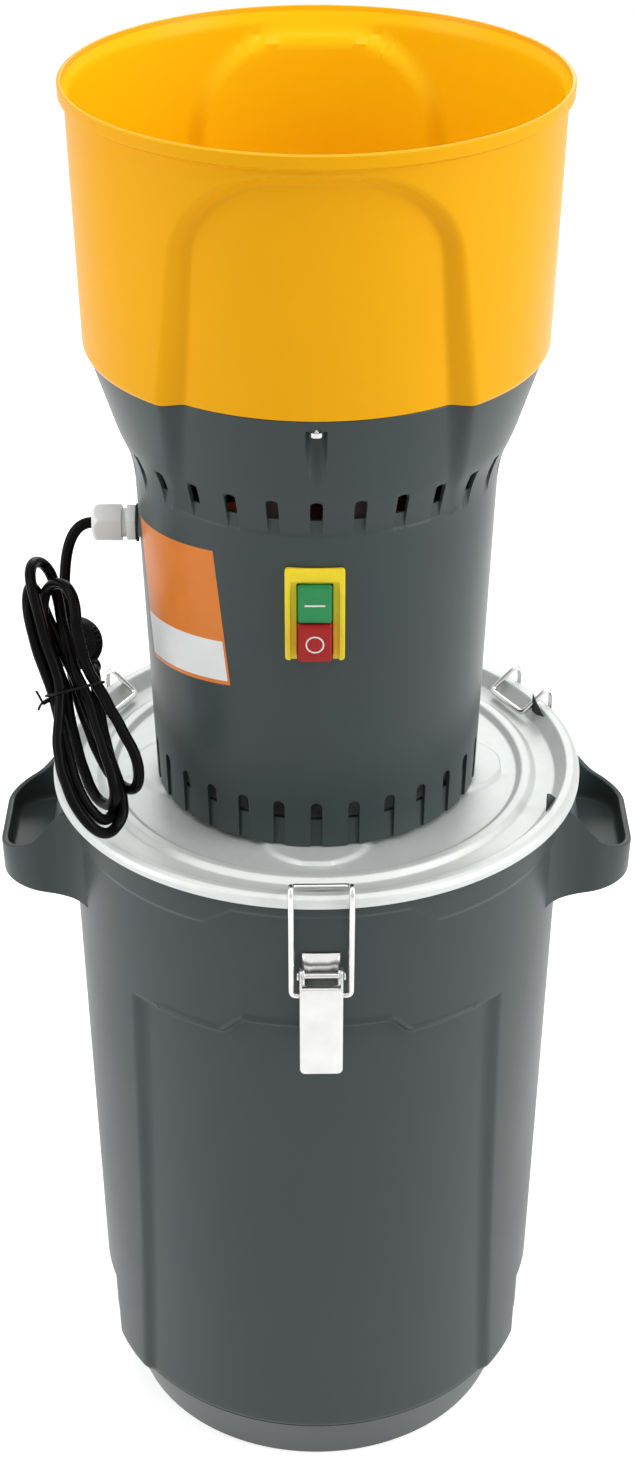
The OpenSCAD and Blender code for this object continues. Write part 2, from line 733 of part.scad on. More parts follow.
module beaters() {
    tip_r = sieve_r - sieve_t - beater_gap;
    color([0.5, 0.51, 0.52]) translate([0, 0, hub_z + hub_h / 2 + seat_gap]) difference() {
        intersection() {
            for (a = [0, 90]) rotate([0, 0, a]) translate([-tip_r, -12, 0]) cube([2 * tip_r, 24, 4]);
            cylinder(h = 4, r = tip_r);
        }
        translate([0, 0, -lap]) cylinder(h = 6, r = hub_r + seat_gap);
    }
}

module hub_nut() {
    color([0.6, 0.6, 0.6]) translate([0, 0, hub_z - nut_h - seat_gap]) difference() {
        cylinder(h = nut_h, r = shaft_r + 6, $fn = 6);
        translate([0, 0, -lap]) cylinder(h = nut_h + 2 * lap, r = shaft_r + seat_gap);
    }
}

// ---------------------------------------------------------------- hopper
arch_lean = 3.5;
arch_run = 10;
arch_fall = -3.9;
arch_top_z = rim_z - arch_drop;
arch_slope_h = 10;
land_z = seam_z - 64;               // flat round the feed opening
land_y = feed_y - 26;
land_r = 50;
skirt_top_r = recess_seam_r - house_wall - seat_gap - 1;
skirt_low_r = neck_top_r - house_wall - 1.5;
skirt_low_z = land_z - hopper_wall;

function hopper_r(z) = hopper_low_r + (hopper_top_r - hopper_low_r) * (z - hopper_z) / hopper_h;

// Outside of the hopper's wall, drawn in by w
module hopper_form(w) {
    step_z = rim_z - rim_h + w;
    chamfer = 3;
    high_z = arch_top_z - arch_slope_h + w;
    difference() {
        rotate_extrude() polygon([[0, hopper_z - w], [seam_r - 0.3 - w, hopper_z - w],
            [hopper_r(hopper_z + chamfer) - w, hopper_z + chamfer],
            [hopper_r(step_z) - w, step_z], [rim_r - w - 0.6, step_z + 1.6], [rim_r - w, step_z + 3],
            [rim_r - w, rim_z + w], [0, rim_z + w]]);
        for (a = [0, 180]) rotate([0, 0, a]) intersection() {
            outer_ring(hopper_z - lap - w, high_z, recess_seam_r - 0.3 - w,
                hopper_r(high_z) - arch_depth - w, arch_depth, arch_slope_h);
            between_flanks(arch_half_w + w, recess_seam_r - w, seam_z, arch_lean, arch_run, arch_fall);
            arch_front(w);
        }
    }
}

// Prism along Y with the arch's rounded upper corners
module arch_front(w) {
    half_w = arch_half_w + 8 + w;
    corner = arch_corner_r + w;
    top_z = arch_top_z + w;
    rotate([90, 0, 0]) linear_extrude(300) {
        for (s = [-1, 1]) translate([s * (half_w - corner), top_z - corner]) circle(corner);
        translate([-half_w + corner, top_z - 2 * corner]) square([2 * (half_w - corner), 2 * corner]);
        translate([-half_w - 10, hopper_z - 20]) square([2 * half_w + 20, 40]);
        translate([-half_w, hopper_z]) square([2 * half_w, top_z - corner - hopper_z]);
    }
}

// Funnel cone round the feed opening, grown by g
module funnel(g) {
    len = 180;
    translate([0, land_y, land_z - g])
        cylinder(h = len, r1 = land_r + g / 2, r2 = land_r + g / 2 + len / tan(funnel_slope));
}

module skirt(w, over) {
    rotate_extrude() polygon([[0, skirt_low_z - over], [skirt_low_r - w, skirt_low_z - over],
        [skirt_top_r - w, hopper_z + 1.5 + over], [0, hopper_z + 1.5 + over]]);
}

// Room in the skirt for the housing's scoop, grown by g
module skirt_notch(g) {
    low_z = skirt_low_z - lap;
    for (a = [0, 180]) rotate([0, 0, a]) translate([0, -screw_y, low_z])
        cylinder(h = hopper_z + g - low_z, r = scoop_r + house_wall + 0.5 + g);
}

module hopper() {
    color([0.98, 0.69, 0.05]) difference() {
        union() {
            intersection() {
                skirt_notch(hopper_wall);
                union() {
                    skirt(0, 0);
                    translate([0, 0, hopper_z]) cylinder(h = hopper_wall, r = skirt_top_r);
                }
                funnel(hopper_wall);
            }
            difference() {
                hopper_form(0);
                hopper_form(hopper_wall);
            }
            // funnel floor inside the wall and inside the skirt
            intersection() {
                difference() {
                    funnel(hopper_wall);
                    funnel(0);
                }
                union() {
                    intersection() {
                        hopper_form(hopper_wall / 2);
                        translate([0, 0, hopper_z]) cylinder(h = hopper_h, r = rim_r);
                    }
                    skirt(0, 0);
                }
            }
            // skirt that hangs into the housing's collar
            intersection() {
                difference() {
                    skirt(0, 0);
                    skirt(hopper_wall, lap);
                }
                funnel(hopper_wall);
            }
            // ledge that joins the skirt to the wall
            difference() {
                intersection() {
                    hopper_form(hopper_wall / 2);
                    translate([0, 0, hopper_z]) cylinder(h = hopper_wall, r = seam_r);
                }
                translate([0, 0, hopper_z - lap])
                    cylinder(h = hopper_wall + 2 * lap, r = skirt_top_r - hopper_wall);
            }
            for (a = [0, 180]) rotate([0, 0, a]) translate([0, -screw_y + 1, hopper_z])
                intersection() {
                    cylinder(h = 14, r = 6);
                    translate([-20, 0, 0]) translate([0, -4.4, 0]) cube([40, 40, 14]);
                }
            // spout that enters the feed tube
            translate([0, feed_y, land_z - 22]) cylinder(h = 20, r = feed_r + 1.6);
        }
        skirt_notch(0);
        translate([0, feed_y, land_z - 30]) cylinder(h = 60, r = feed_r);
        for (a = [0, 180]) rotate([0, 0, a]) translate([0, -screw_y, hopper_z - lap])
            cylinder(h = 11 + lap, r = screw_r + 0.1);
        translate([0, land_y, land_z - 8]) cylinder(h = 20, r = 2.2);
    }
}

module hopper_screws() {
    color([0.7, 0.7, 0.7]) for (a = [0, 180]) rotate([0, 0, a])
        translate([0, -screw_y, screw_head_z - seat_gap]) {
            translate([0, 0, -3]) cylinder(h = 3, r = 4);
            translate([0, 0, -lap]) cylinder(h = 16 + lap, r = screw_r);
        }
}

module feed_tube() {
    top_z = land_z - hopper_wall - seat_gap;
    color([0.93, 0.62, 0.06]) translate([0, feed_y, under_z]) difference() {
        cylinder(h = top_z - under_z, r = tube_r);
        translate([0, 0, -lap]) cylinder(h = top_z - under_z + 2 * lap, r = feed_r + 2);
    }
}

gate_t = 2;
gate_r = land_r - 4;

// Turning disc whose hole lies over the feed opening when it is open
module feed_gate() {
    color([0.70, 0.72, 0.72]) translate([0, land_y, land_z + seat_gap]) {
        difference() {
            union() {
                cylinder(h = gate_t, r = gate_r);
                rotate([0, 0, 180]) translate([0, gate_r - 14, gate_t - 0.5]) cylinder(h = 16, r = 6);
            }
            translate([0, feed_y - land_y, -lap]) cylinder(h = gate_t + 2 * lap, r = feed_r);
            translate([0, 0, -lap]) cylinder(h = gate_t + 2 * lap, r = 2.2 + run_gap);
        }
    }
}

module gate_screw() {
    color([0.6, 0.6, 0.6]) translate([0, land_y, 0]) {
        translate([0, 0, land_z - 7]) cylinder(h = 7 + seat_gap + gate_t + seat_gap + lap, r = 2.15);
        translate([0, 0, land_z + 2 * seat_gap + gate_t]) cylinder(h = 3, r = 5);
    }
}

// ---------------------------------------------------------------- switch
plate_x = -1;
plate_mid_z = house_z + plate_z;
plate_face_y = -(neck_r(plate_mid_z) + plate_proud);
switch_w = plate_w - 9;
switch_hh = plate_h - 13;
window_w = button_w + 1.2;
step_w = plate_w - 7.4;
step_depth = 2;
button_clear = 0.4;
step_top_z = plate_mid_z + plate_h / 2 - 9.4;
window_top_z = step_top_z - 1.8;
plate_low_z = plate_mid_z - plate_h / 2;
on_z = window_top_z - button_clear - button_h;
off_z = on_z - 0.7 - button_h;
button_travel = 3;
stem_r = 4;
body_face_y = plate_face_y + 7.5;

module rounded_plate(w, h, r) {
    translate([-w / 2 + r, -h / 2]) square([w - 2 * r, h]);
    translate([-w / 2, -h / 2 + r]) square([w, h - 2 * r]);
    for (x = [-1, 1], y = [-1, 1]) translate([x * (w / 2 - r), y * (h / 2 - r)]) circle(r, $fn = 24);
}

module switch_plate() {
    thick = 8;
    color([0.93, 0.80, 0.10]) difference() {
        translate([plate_x, plate_face_y, plate_mid_z]) rotate([90, 0, 0]) translate([0, 0, -thick])
            linear_extrude(thick) rounded_plate(plate_w, plate_h, 2.5);
        rotate_extrude($fn = 360) polygon([[0, plate_low_z - 10],
            [neck_r(plate_low_z - 10) + seat_gap, plate_low_z - 10],
            [neck_r(plate_mid_z + plate_h) + seat_gap, plate_mid_z + plate_h],
            [0, plate_mid_z + plate_h]]);
        translate([plate_x - step_w / 2, plate_face_y - lap, plate_low_z - lap])
            cube([step_w, step_depth + lap, step_top_z - plate_low_z + lap]);
        translate([plate_x - window_w / 2, plate_face_y - lap, plate_low_z - lap])
            cube([window_w, thick + 2 * lap, window_top_z - plate_low_z + lap]);
    }
}

module switch_body() {
    depth = 32;
    color([0.10, 0.10, 0.11]) difference() {
        translate([plate_x - switch_w / 2, body_face_y, plate_mid_z - switch_hh / 2])
            cube([switch_w, depth, switch_hh]);
        for (z = [on_z, off_z]) translate([plate_x, body_face_y - lap, z + button_h / 2])
            rotate([-90, 0, 0]) cylinder(h = 12, r = stem_r + run_gap);
    }
}

// A push button with a softened face and a stem that slides in the switch
module push_button(z, proud, mark_r) {
    back_y = body_face_y - button_travel - 0.5;
    face_y = plate_face_y - proud;
    bevel = 1.6;
    difference() {
        union() {
            translate([plate_x, back_y, z + button_h / 2]) rotate([90, 0, 0])
                linear_extrude(back_y - face_y - bevel) rounded_plate(button_w, button_h, 2);
            translate([plate_x, back_y, z + button_h / 2]) rotate([90, 0, 0])
                linear_extrude(back_y - face_y) rounded_plate(button_w - bevel, button_h - bevel, 2);
            translate([plate_x, back_y - lap, z + button_h / 2]) rotate([-90, 0, 0])
                cylinder(h = button_travel + 4, r = stem_r);
        }
        translate([plate_x, face_y - lap, z + button_h / 2]) rotate([-90, 0, 0])
            if (mark_r > 0) difference() {
                cylinder(h = lap + 0.4, r = mark_r);
                translate([0, 0, -lap]) cylinder(h = 4, r = mark_r - 1.2);
            } else translate([-6.8, -0.7, 0]) cube([13.6, 1.4, lap + 0.4]);
    }
}

module on_button() { color([0.16, 0.52, 0.32]) push_button(on_z, on_proud, 0); }
module off_button() { color([0.75, 0.16, 0.17]) push_button(off_z, off_proud, 6.2); }

// ---------------------------------------------------------------- cable gland
gland_mid_z = house_z + gland_z;
thread_r = 9.8;
seal_t = 1.4;
hex_t = 6;
neck_gap = 3.6;
gland_x = -neck_r(gland_mid_z) - 0.8;
seal_end_x = gland_x - seal_t;
hex_end_x = seal_end_x - seat_gap - hex_t;
nut_x = hex_end_x - neck_gap;
nut_end_x = nut_x - gland_nut_l;

module along_gland(x) { translate([x, 0, gland_mid_z]) rotate([0, -90, 0]) children(); }

module gland_seal() {
    color([0.08, 0.08, 0.08]) along_gland(gland_x) difference() {
        cylinder(h = seal_t, r = 13);
        translate([0, 0, -lap]) cylinder(h = seal_t + 2 * lap, r = thread_r + seat_gap);
    }
}

module gland_body() {
    inner_l = 14;
    color([0.82, 0.83, 0.83]) difference() {
        union() {
            along_gland(seal_end_x - seat_gap) cylinder(h = hex_t, r = gland_corner / 2 - 0.4, $fn = 6);
            along_gland(gland_x + inner_l) cylinder(h = inner_l + seal_t + 2, r = thread_r);
            along_gland(hex_end_x + lap) cylinder(h = neck_gap + 10, r = thread_r - 0.2);
        }
        along_gland(gland_x + inner_l + lap) cylinder(h = 80, r = cord_d / 2 + 2);
    }
}

module gland_locknut() {
    color([0.78, 0.79, 0.79]) along_gland(gland_x + 9) difference() {
        cylinder(h = 4, r = 14, $fn = 6);
        translate([0, 0, -lap]) cylinder(h = 6, r = thread_r + seat_gap);
    }
}

module gland_nut() {
    dome = 7;
    color([0.84, 0.85, 0.85]) along_gland(nut_x) difference() {
        intersection() {
            cylinder(h = gland_nut_l, r = gland_corner / 2, $fn = 6);
            rotate_extrude() polygon(concat([[0, 0], [gland_corner / 2 + 1, 0]],
                [[gland_corner / 2 + 0.4, gland_nut_l - dome - 1]],
                arc(gland_corner / 2 - dome, gland_nut_l - dome, dome, 10, 90), [[0, gland_nut_l]]));
        }
        translate([0, 0, -lap]) cylinder(h = 10 + lap, r = thread_r + seat_gap);
        cylinder(h = 60, r = sleeve_r + seat_gap);
    }
}
sleeve_r = cord_d / 2 + 1.4;

sleeve_end_x = nut_end_x + 0.4;

module gland_sleeve() {
    sleeve_x = nut_x - 9;
    color([0.10, 0.10, 0.10]) along_gland(sleeve_x) cylinder(h = sleeve_x - sleeve_end_x, r = sleeve_r);
}

// ---------------------------------------------------------------- latches
pivot_z = drum_h - pivot_drop;
eye_r = pivot_r + 1;
eye_z = pivot_z - eye_drop;
bracket_half_w = lever_w / 2 - latch_t - 0.3;
leg_x = bail_w / 2 - wire_d / 2;
side_t = latch_t;

module at_latch(i) { rotate([0, 0, latch_angles[i]]) children(); }

module latch_bracket(i) {
    low_z = pivot_z - 15;
    high_z = pivot_z + 13;
    ear_top = 7;
    color([0.55, 0.57, 0.58]) at_latch(i) difference() {
        union() {
            // base plate that follows the wall
            intersection() {
                rotate_extrude() polygon([[wall_r(low_z) + seat_gap, low_z],
                    [wall_r(low_z) + seat_gap + latch_t, low_z],
                    [wall_r(high_z) + seat_gap + latch_t, high_z], [wall_r(high_z) + seat_gap, high_z]]);
                translate([-bracket_half_w, -250, low_z - lap])
                    cube([2 * bracket_half_w, 250, high_z - low_z + 2 * lap]);
            }
            for (s = [-1, 1]) translate([s * (bracket_half_w - side_t / 2), 0, 0])
                rotate([90, 0, -90]) translate([0, 0, -side_t / 2]) linear_extrude(side_t) {
                    translate([pivot_r, pivot_z]) circle(ear_top, $fn = 48);
                    polygon([[wall_r(pivot_z) + 0.8, high_z - 1], [pivot_r + 1, pivot_z + ear_top - 0.2],
                        [pivot_r, pivot_z - ear_top], [wall_r(pivot_z) + 0.8, low_z + 1]]);
                }
        }
        pin_bore(pin_r + 0.3);
    }
}

module pin_bore(r) {
    translate([-30, -pivot_r, pivot_z]) rotate([0, 90, 0]) cylinder(h = 60, r = r);
}

module latch_pin(i) {
    color([0.75, 0.76, 0.77]) at_latch(i) {
        half_l = lever_w / 2 + 0.4;
        translate([-half_l, -pivot_r, pivot_z]) rotate([0, 90, 0]) cylinder(h = 2 * half_l, r = pin_r);
        for (s = [-1, 1]) translate([s * (half_l + 0.8), -pivot_r, pivot_z]) rotate([0, 90, 0])
            translate([0, 0, -0.8]) cylinder(h = 1.6, r = pin_r + 1.4);
    }
}

module latch_lever(i) {
    plate_r = pivot_r + 4.5;
    low_z = pivot_z - lever_l;
    ear_back = 4.6;
    color([0.78, 0.79, 0.80]) at_latch(i) difference() {
        union() {
            translate([0, -plate_r, (pivot_z - 8 + low_z) / 2]) rotate([90, 0, 0])
                linear_extrude(latch_t) rounded_plate(lever_w, pivot_z - 8 - low_z, 4);
            for (s = [-1, 1]) translate([s * (lever_w / 2 - side_t / 2), 0, 0])
                rotate([90, 0, -90]) translate([0, 0, -side_t / 2]) linear_extrude(side_t) {
                    translate([pivot_r, pivot_z]) circle(5.5, $fn = 48);
                    polygon([[pivot_r - 5.5, pivot_z], [plate_r + lap, pivot_z - 2],
                        [plate_r + lap, eye_z - 24], [plate_r - 2, eye_z - 24],
                        [eye_r - ear_back, eye_z - 5], [eye_r - ear_back, eye_z + 3]]);
                }
            // rolled top edge that stiffens the plate
            translate([-lever_w / 2, -pivot_r - 4.2, pivot_z - 9]) rotate([0, 90, 0])
                cylinder(h = lever_w, r = 1.6, $fn = 32);
        }
        pin_bore(pin_r + run_gap);
        translate([-30, -eye_r, eye_z]) rotate([0, 90, 0]) cylinder(h = 60, r = wire_d / 2 + run_gap);
    }
}

// Side view of the bail from its eye to the crossbar, as radius and height
bail_path = [[eye_r, eye_z], [lid_r + wire_d / 2 + 0.7, bead_z - 17],
    [lid_r + wire_d / 2 + 0.9, bead_z + 3.5], [lid_r + 0.4, bead_z + 8.2],
    [lid_r - 3.5, bead_z + 7.6], [bead_foot_r - wire_d / 2 - 3.4, lid_z + wire_d / 2 + 2.6]];

function unit(v) = v / norm(v);

// Straight length of wire from a to b
module rod(a, b, r) {
    d = b - a;
    l = norm(d);
    translate(a) rotate([0, acos(d[2] / l), atan2(d[1], d[0])]) cylinder(h = l, r = r, $fn = 32);
}

// Rods through the points p, with a ball a little larger than the wire at every inner one
module bent_wire(p, r) {
    n = len(p);
    for (i = [0:n - 2]) rod(p[i], p[i + 1], r);
    for (i = [1:n - 2]) translate(p[i]) sphere(r + 0.12, $fn = 32);
}

module latch_bail(i) {
    n = len(bail_path);
    stub_x = lever_w / 2 - latch_t - 0.6;
    side = [for (k = [0:n - 1]) [leg_x, -bail_path[k][0], bail_path[k][1]]];
    other = [for (k = [n - 1:-1:0]) [-side[k][0], side[k][1], side[k][2]]];
    color([0.80, 0.81, 0.82]) at_latch(i)
        bent_wire(concat([[stub_x, -eye_r, eye_z]], side, other, [[-stub_x, -eye_r, eye_z]]), wire_d / 2);
}

module latch_bracket_a() { latch_bracket(0); }
module latch_bracket_b() { latch_bracket(1); }
module latch_bracket_c() { latch_bracket(2); }
module latch_pin_a() { latch_pin(0); }
module latch_pin_b() { latch_pin(1); }
module latch_pin_c() { latch_pin(2); }
module latch_lever_a() { latch_lever(0); }
module latch_lever_b() { latch_lever(1); }
module latch_lever_c() { latch_lever(2); }
module latch_bail_a() { latch_bail(0); }
module latch_bail_b() { latch_bail(1); }
module latch_bail_c() { latch_bail(2); }

// ---------------------------------------------------------------- mains cord
// Route of the free lead, straight out of the gland and then down to the back of the hank
lead_gap = 0.25;                    // between the sleeve's end and the lead's flat start
lead_route = [[sleeve_end_x - lead_gap, 0, gland_mid_z], [-157.4, 0, gland_mid_z], [-161.3, -0.3, 740],
    [-164.6, -0.8, 737.1], [-167, -1.6, 733.9], [-168.9, -2.7, 730.3], [-170.2, -4, 726.6],
    [-171.3, -5.4, 722.9], [-172, -7.1, 719.2], [-172.6, -8.9, 715.6], [-172.9, -10.8, 711.9],
    [-173.2, -12.9, 708.4], [-173.3, -15.1, 704.9], [-173.4, -17.3, 701.4], [-173.3, -19.7, 698.1],
    [-171.3, -43.5, 681.5], [-168.4, -52.8, 674.3]];
hank_foot = [-144.5, -126.5, 566];
hank_rot = [10.7, -28.3, -83.6];
hank_l = 195;
hank_low_r = 28;                    // bottom fold
hank_high_r = 20;                   // top fold
hank_low_y = 8;                     // offsets across the hank, seen from the front
hank_high_y = 2;
tie_z = 101.5;
tie_h = 3;
waist_z = tie_z + tie_h / 2;
waist_y = 6;
waist_w = 21;                       // half of its breadth and depth at the tie
waist_t = 14;

function tangent(p, i) = unit(p[min(i + 1, len(p) - 1)] - p[max(i - 1, 0)]);

// Tube swept along a route: one closed polyhedron with flat ends
module swept_tube(p, r, sides = 8) {
    n = len(p);
    function ring(i) = let (t = tangent(p, i), u = unit(cross(t, [0, 1, 0])), v = cross(t, u))
        [for (k = [0:sides - 1]) p[i] + r * (cos(360 * k / sides) * u + sin(360 * k / sides) * v)];
    pts = [for (i = [0:n - 1]) each ring(i)];
    sides_faces = [for (i = [0:n - 2], k = [0:sides - 1]) let (k2 = (k + 1) % sides)
        [i * sides + k, i * sides + k2, (i + 1) * sides + k2, (i + 1) * sides + k]];
    polyhedron(pts, concat([[for (k = [sides - 1:-1:0]) k]], sides_faces,
        [[for (k = [0:sides - 1]) (n - 1) * sides + k]]), convexity = 4);
}

module cord_lead() { color([0.07, 0.07, 0.07]) swept_tube(lead_route, cord_d / 2); }

module at_hank() {
    translate(hank_foot) rotate(hank_rot) children();
}

// Waisted outline with round ends; y offsets, half breadths
module hank_outline(low_y, mid_y, high_y, mid_w) {
    high_z = hank_l - hank_high_r;
    translate([low_y, hank_low_r]) circle(hank_low_r);
    translate([high_y, high_z]) circle(hank_high_r);
    polygon([[low_y - hank_low_r, hank_low_r], [low_y + hank_low_r, hank_low_r],
        [mid_y + mid_w, waist_z], [high_y + hank_high_r, high_z],
        [high_y - hank_high_r, high_z], [mid_y - mid_w, waist_z]]);
}

module cord_hank() {
    color([0.08, 0.08, 0.08]) at_hank() intersection() {
        rotate([90, 0, 90]) translate([0, 0, -60]) linear_extrude(120)
            hank_outline(hank_low_y, waist_y, hank_high_y, waist_w);
        rotate([90, 0, 0]) translate([0, 0, -60]) linear_extrude(120)
            hank_outline(0, 0, 0, waist_t);
    }
}

module cord_tie() {
    in_y = waist_w + 0.5;
    in_x = waist_t + 0.5;
    color([0.05, 0.05, 0.05]) at_hank() translate([0, waist_y, tie_z]) difference() {
        translate([-in_x - 2, -in_y - 2, 0]) cube([2 * in_x + 4, 2 * in_y + 4, tie_h]);
        translate([-in_x, -in_y, -lap]) cube([2 * in_x, 2 * in_y, tie_h + 2 * lap]);
    }
}

plug_at = [-27, 13.8, 133];          // middle of the plug's back

// Right-angled mains plug lying behind the hank, pins pointing away
module cord_plug() {
    color([0.06, 0.06, 0.06]) at_hank() {
        translate(plug_at) rotate([0, -90, 0]) {
            rotate_extrude() polygon([[0, 0], [14, 0], [18.5, 6], [18.5, 24], [0, 24]]);
            for (s = [-1, 1]) translate([s * 9.5 * cos(20), s * 9.5 * sin(20), 23]) cylinder(h = 20, r = 2.4);
        }
        rod(plug_at + [-9, 0, -6], plug_at + [-5, 7.8, -21], 6);
        rod(plug_at + [-6, 6.5, -18], [-13, 19, 110.5], cord_d / 2);
    }
}

drum();
lid_gasket();
lid();
motor_housing();
motor_can();
motor_base();
stator();
rotor_core();
motor_shaft();
cooling_fan();
upper_bearing();
lower_bearing();
capacitor();
capacitor_clip();
feed_tube();
sieve();
chamber_floor();
chamber_bolts();
housing_screws();
beater_hub();
beaters();
hub_nut();
hopper();
feed_gate();
gate_screw();
hopper_screws();
switch_plate();
switch_body();
on_button();
off_button();
gland_body();
gland_seal();
gland_nut();
gland_sleeve();
gland_locknut();
latch_bracket_a();
latch_bracket_b();
latch_bracket_c();
latch_pin_a();
latch_pin_b();
latch_pin_c();
latch_lever_a();
latch_lever_b();
latch_lever_c();
latch_bail_a();
latch_bail_b();
latch_bail_c();
cord_lead();
cord_hank();
cord_tie();
cord_plug();
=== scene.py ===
"""Electric grain mill on its flour drum: the looks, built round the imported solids.

Metres, +Z up, front towards -Y, as the solids have it.
"""

import json
from math import acos, cos, degrees, hypot, pi, radians, sin, sqrt, tan

import bmesh
import bpy
from mathutils import Matrix, Vector

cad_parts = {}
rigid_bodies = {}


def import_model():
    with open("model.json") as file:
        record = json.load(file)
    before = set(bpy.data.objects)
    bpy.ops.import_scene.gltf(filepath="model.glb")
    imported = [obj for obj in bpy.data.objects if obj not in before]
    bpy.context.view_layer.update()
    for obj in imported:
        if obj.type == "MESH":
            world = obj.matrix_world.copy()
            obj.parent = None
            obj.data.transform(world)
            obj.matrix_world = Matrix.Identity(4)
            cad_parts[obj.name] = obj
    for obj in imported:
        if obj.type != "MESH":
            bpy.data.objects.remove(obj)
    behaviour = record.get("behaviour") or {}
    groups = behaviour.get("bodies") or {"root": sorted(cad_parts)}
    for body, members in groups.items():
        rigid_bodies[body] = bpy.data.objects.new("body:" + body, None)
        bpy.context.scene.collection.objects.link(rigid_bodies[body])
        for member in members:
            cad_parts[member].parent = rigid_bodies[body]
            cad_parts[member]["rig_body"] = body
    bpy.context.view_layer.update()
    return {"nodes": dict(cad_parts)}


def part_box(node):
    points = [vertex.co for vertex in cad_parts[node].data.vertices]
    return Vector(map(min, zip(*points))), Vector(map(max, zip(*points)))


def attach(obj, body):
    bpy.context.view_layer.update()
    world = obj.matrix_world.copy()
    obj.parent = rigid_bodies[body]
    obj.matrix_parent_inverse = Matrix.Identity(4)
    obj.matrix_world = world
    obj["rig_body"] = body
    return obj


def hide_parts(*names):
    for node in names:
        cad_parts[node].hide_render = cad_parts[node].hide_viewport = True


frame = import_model()

# ------------------------------------------------------------------ studio
# The mill stands on a plain pale floor under soft lamps. The camera looks
# down on it from the front, from a little over the height of the hopper.
scene = bpy.context.scene
scene.view_settings.view_transform = "Standard"

eye = Vector((0.0, -1.6276, 1.5167))
down_pitch = radians(33.56)
# The frame is 634 by 1457 squares; the focal length and where the lens's axis
# meets the frame are in the same squares, from its left and from its top.
frame_wide, frame_tall = 634, 1457
focal = 2604
axis_left, axis_down = 316.5, 893
sensor = 36.0
camera_data = bpy.data.cameras.new("camera")
camera_data.sensor_fit = "AUTO"
camera_data.sensor_width = sensor
camera_data.lens = sensor * focal / frame_tall
camera_data.shift_x = (frame_wide / 2 - axis_left) / frame_tall
camera_data.shift_y = (axis_down - frame_tall / 2) / frame_tall
camera = bpy.data.objects.new("camera", camera_data)
camera.location = eye
camera.rotation_euler = (pi / 2 - down_pitch, 0, 0)
scene.collection.objects.link(camera)
scene.camera = camera

world = bpy.data.worlds.new("studio")
world.use_nodes = True
scene.world = world
world_nodes, world_links = world.node_tree.nodes, world.node_tree.links
world_nodes.clear()
world_out = world_nodes.new("ShaderNodeOutputWorld")
room_light, backdrop = world_nodes.new("ShaderNodeBackground"), world_nodes.new("ShaderNodeBackground")
for glow, strength in ((room_light, 0.36), (backdrop, 1.0)):
    glow.inputs["Color"].default_value = (1.0, 1.0, 1.0, 1)
    glow.inputs["Strength"].default_value = strength
world_path = world_nodes.new("ShaderNodeLightPath")
world_pick = world_nodes.new("ShaderNodeMixShader")


def sees_backdrop(nodes, links, path):
    """1 for camera, mirror and glass rays, from the outputs of a Light Path node."""
    first, either = nodes.new("ShaderNodeMath"), nodes.new("ShaderNodeMath")
    first.operation = either.operation = "MAXIMUM"
    links.new(path.outputs["Is Camera Ray"], first.inputs[0])
    links.new(path.outputs["Is Glossy Ray"], first.inputs[1])
    links.new(first.outputs[0], either.inputs[0])
    links.new(path.outputs["Is Transmission Ray"], either.inputs[1])
    return either.outputs[0]


world_links.new(sees_backdrop(world_nodes, world_links, world_path), world_pick.inputs[0])
world_links.new(room_light.outputs[0], world_pick.inputs[1])
world_links.new(backdrop.outputs[0], world_pick.inputs[2])
world_links.new(world_pick.outputs[0], world_out.inputs[0])


def soft_lamp(name, place, aim, size, power, tall=None):
    """A soft box aimed at a point, square unless its height is given."""
    lamp = bpy.data.lights.new(name, "AREA")
    lamp.shape = "RECTANGLE"
    lamp.size = size
    lamp.size_y = tall or size
    lamp.energy = power
    holder = bpy.data.objects.new(name, lamp)
    holder.location = place
    holder.rotation_euler = (Vector(aim) - Vector(place)).to_track_quat("-Z", "Y").to_euler()
    scene.collection.objects.link(holder)


soft_lamp("side_left", (-2.6, -0.9, 1.7), (0, 0, 0.6), size=1.3, power=40, tall=2.6)
soft_lamp("key_right", (2.5, -1.0, 1.9), (0, 0, 0.6), size=1.3, power=56, tall=2.6)
soft_lamp("overhead", (0, -0.2, 3.2), (0, 0, 0.9), size=1.8, power=26)
soft_lamp("back_wash", (0.2, 2.6, 1.9), (0, 0, 0.7), size=1.6, power=20)


def plain_mesh(name, points, faces, smooth=True):
    """A mesh object at the origin, with its doubles merged and its faces outwards."""
    mesh = bpy.data.meshes.new(name)
    mesh.from_pydata([tuple(p) for p in points], [], faces)
    mesh.validate()
    made = bpy.data.objects.new(name, mesh)
    scene.collection.objects.link(made)
    shell = bmesh.new()
    shell.from_mesh(mesh)
    bmesh.ops.remove_doubles(shell, verts=shell.verts, dist=1e-6)
    bmesh.ops.recalc_face_normals(shell, faces=shell.faces)
    shell.to_mesh(mesh)
    shell.free()
    for face in mesh.polygons:
        face.use_smooth = smooth
    return made


floor_side = 9.0
floor_obj = plain_mesh(
    "studio_floor",
    [(x * floor_side, y * floor_side, 0) for x, y in ((-1, -1), (1, -1), (1, 1), (-1, 1))],
    [(0, 1, 2, 3)],
)
floor_finish = bpy.data.materials.new("studio_floor")
floor_finish.use_nodes = True
floor_nodes, floor_links = floor_finish.node_tree.nodes, floor_finish.node_tree.links
floor_nodes.clear()
floor_out = floor_nodes.new("ShaderNodeOutputMaterial")
floor_paint = floor_nodes.new("ShaderNodeBsdfDiffuse")
floor_paint.inputs["Color"].default_value = (0.86, 0.86, 0.86, 1)
floor_glow = floor_nodes.new("ShaderNodeEmission")
floor_glow.inputs["Color"].default_value = (1, 1, 1, 1)
floor_glow.inputs["Strength"].default_value = 0.62
floor_path = floor_nodes.new("ShaderNodeLightPath")
floor_sum = floor_nodes.new("ShaderNodeAddShader")
floor_pick = floor_nodes.new("ShaderNodeMixShader")
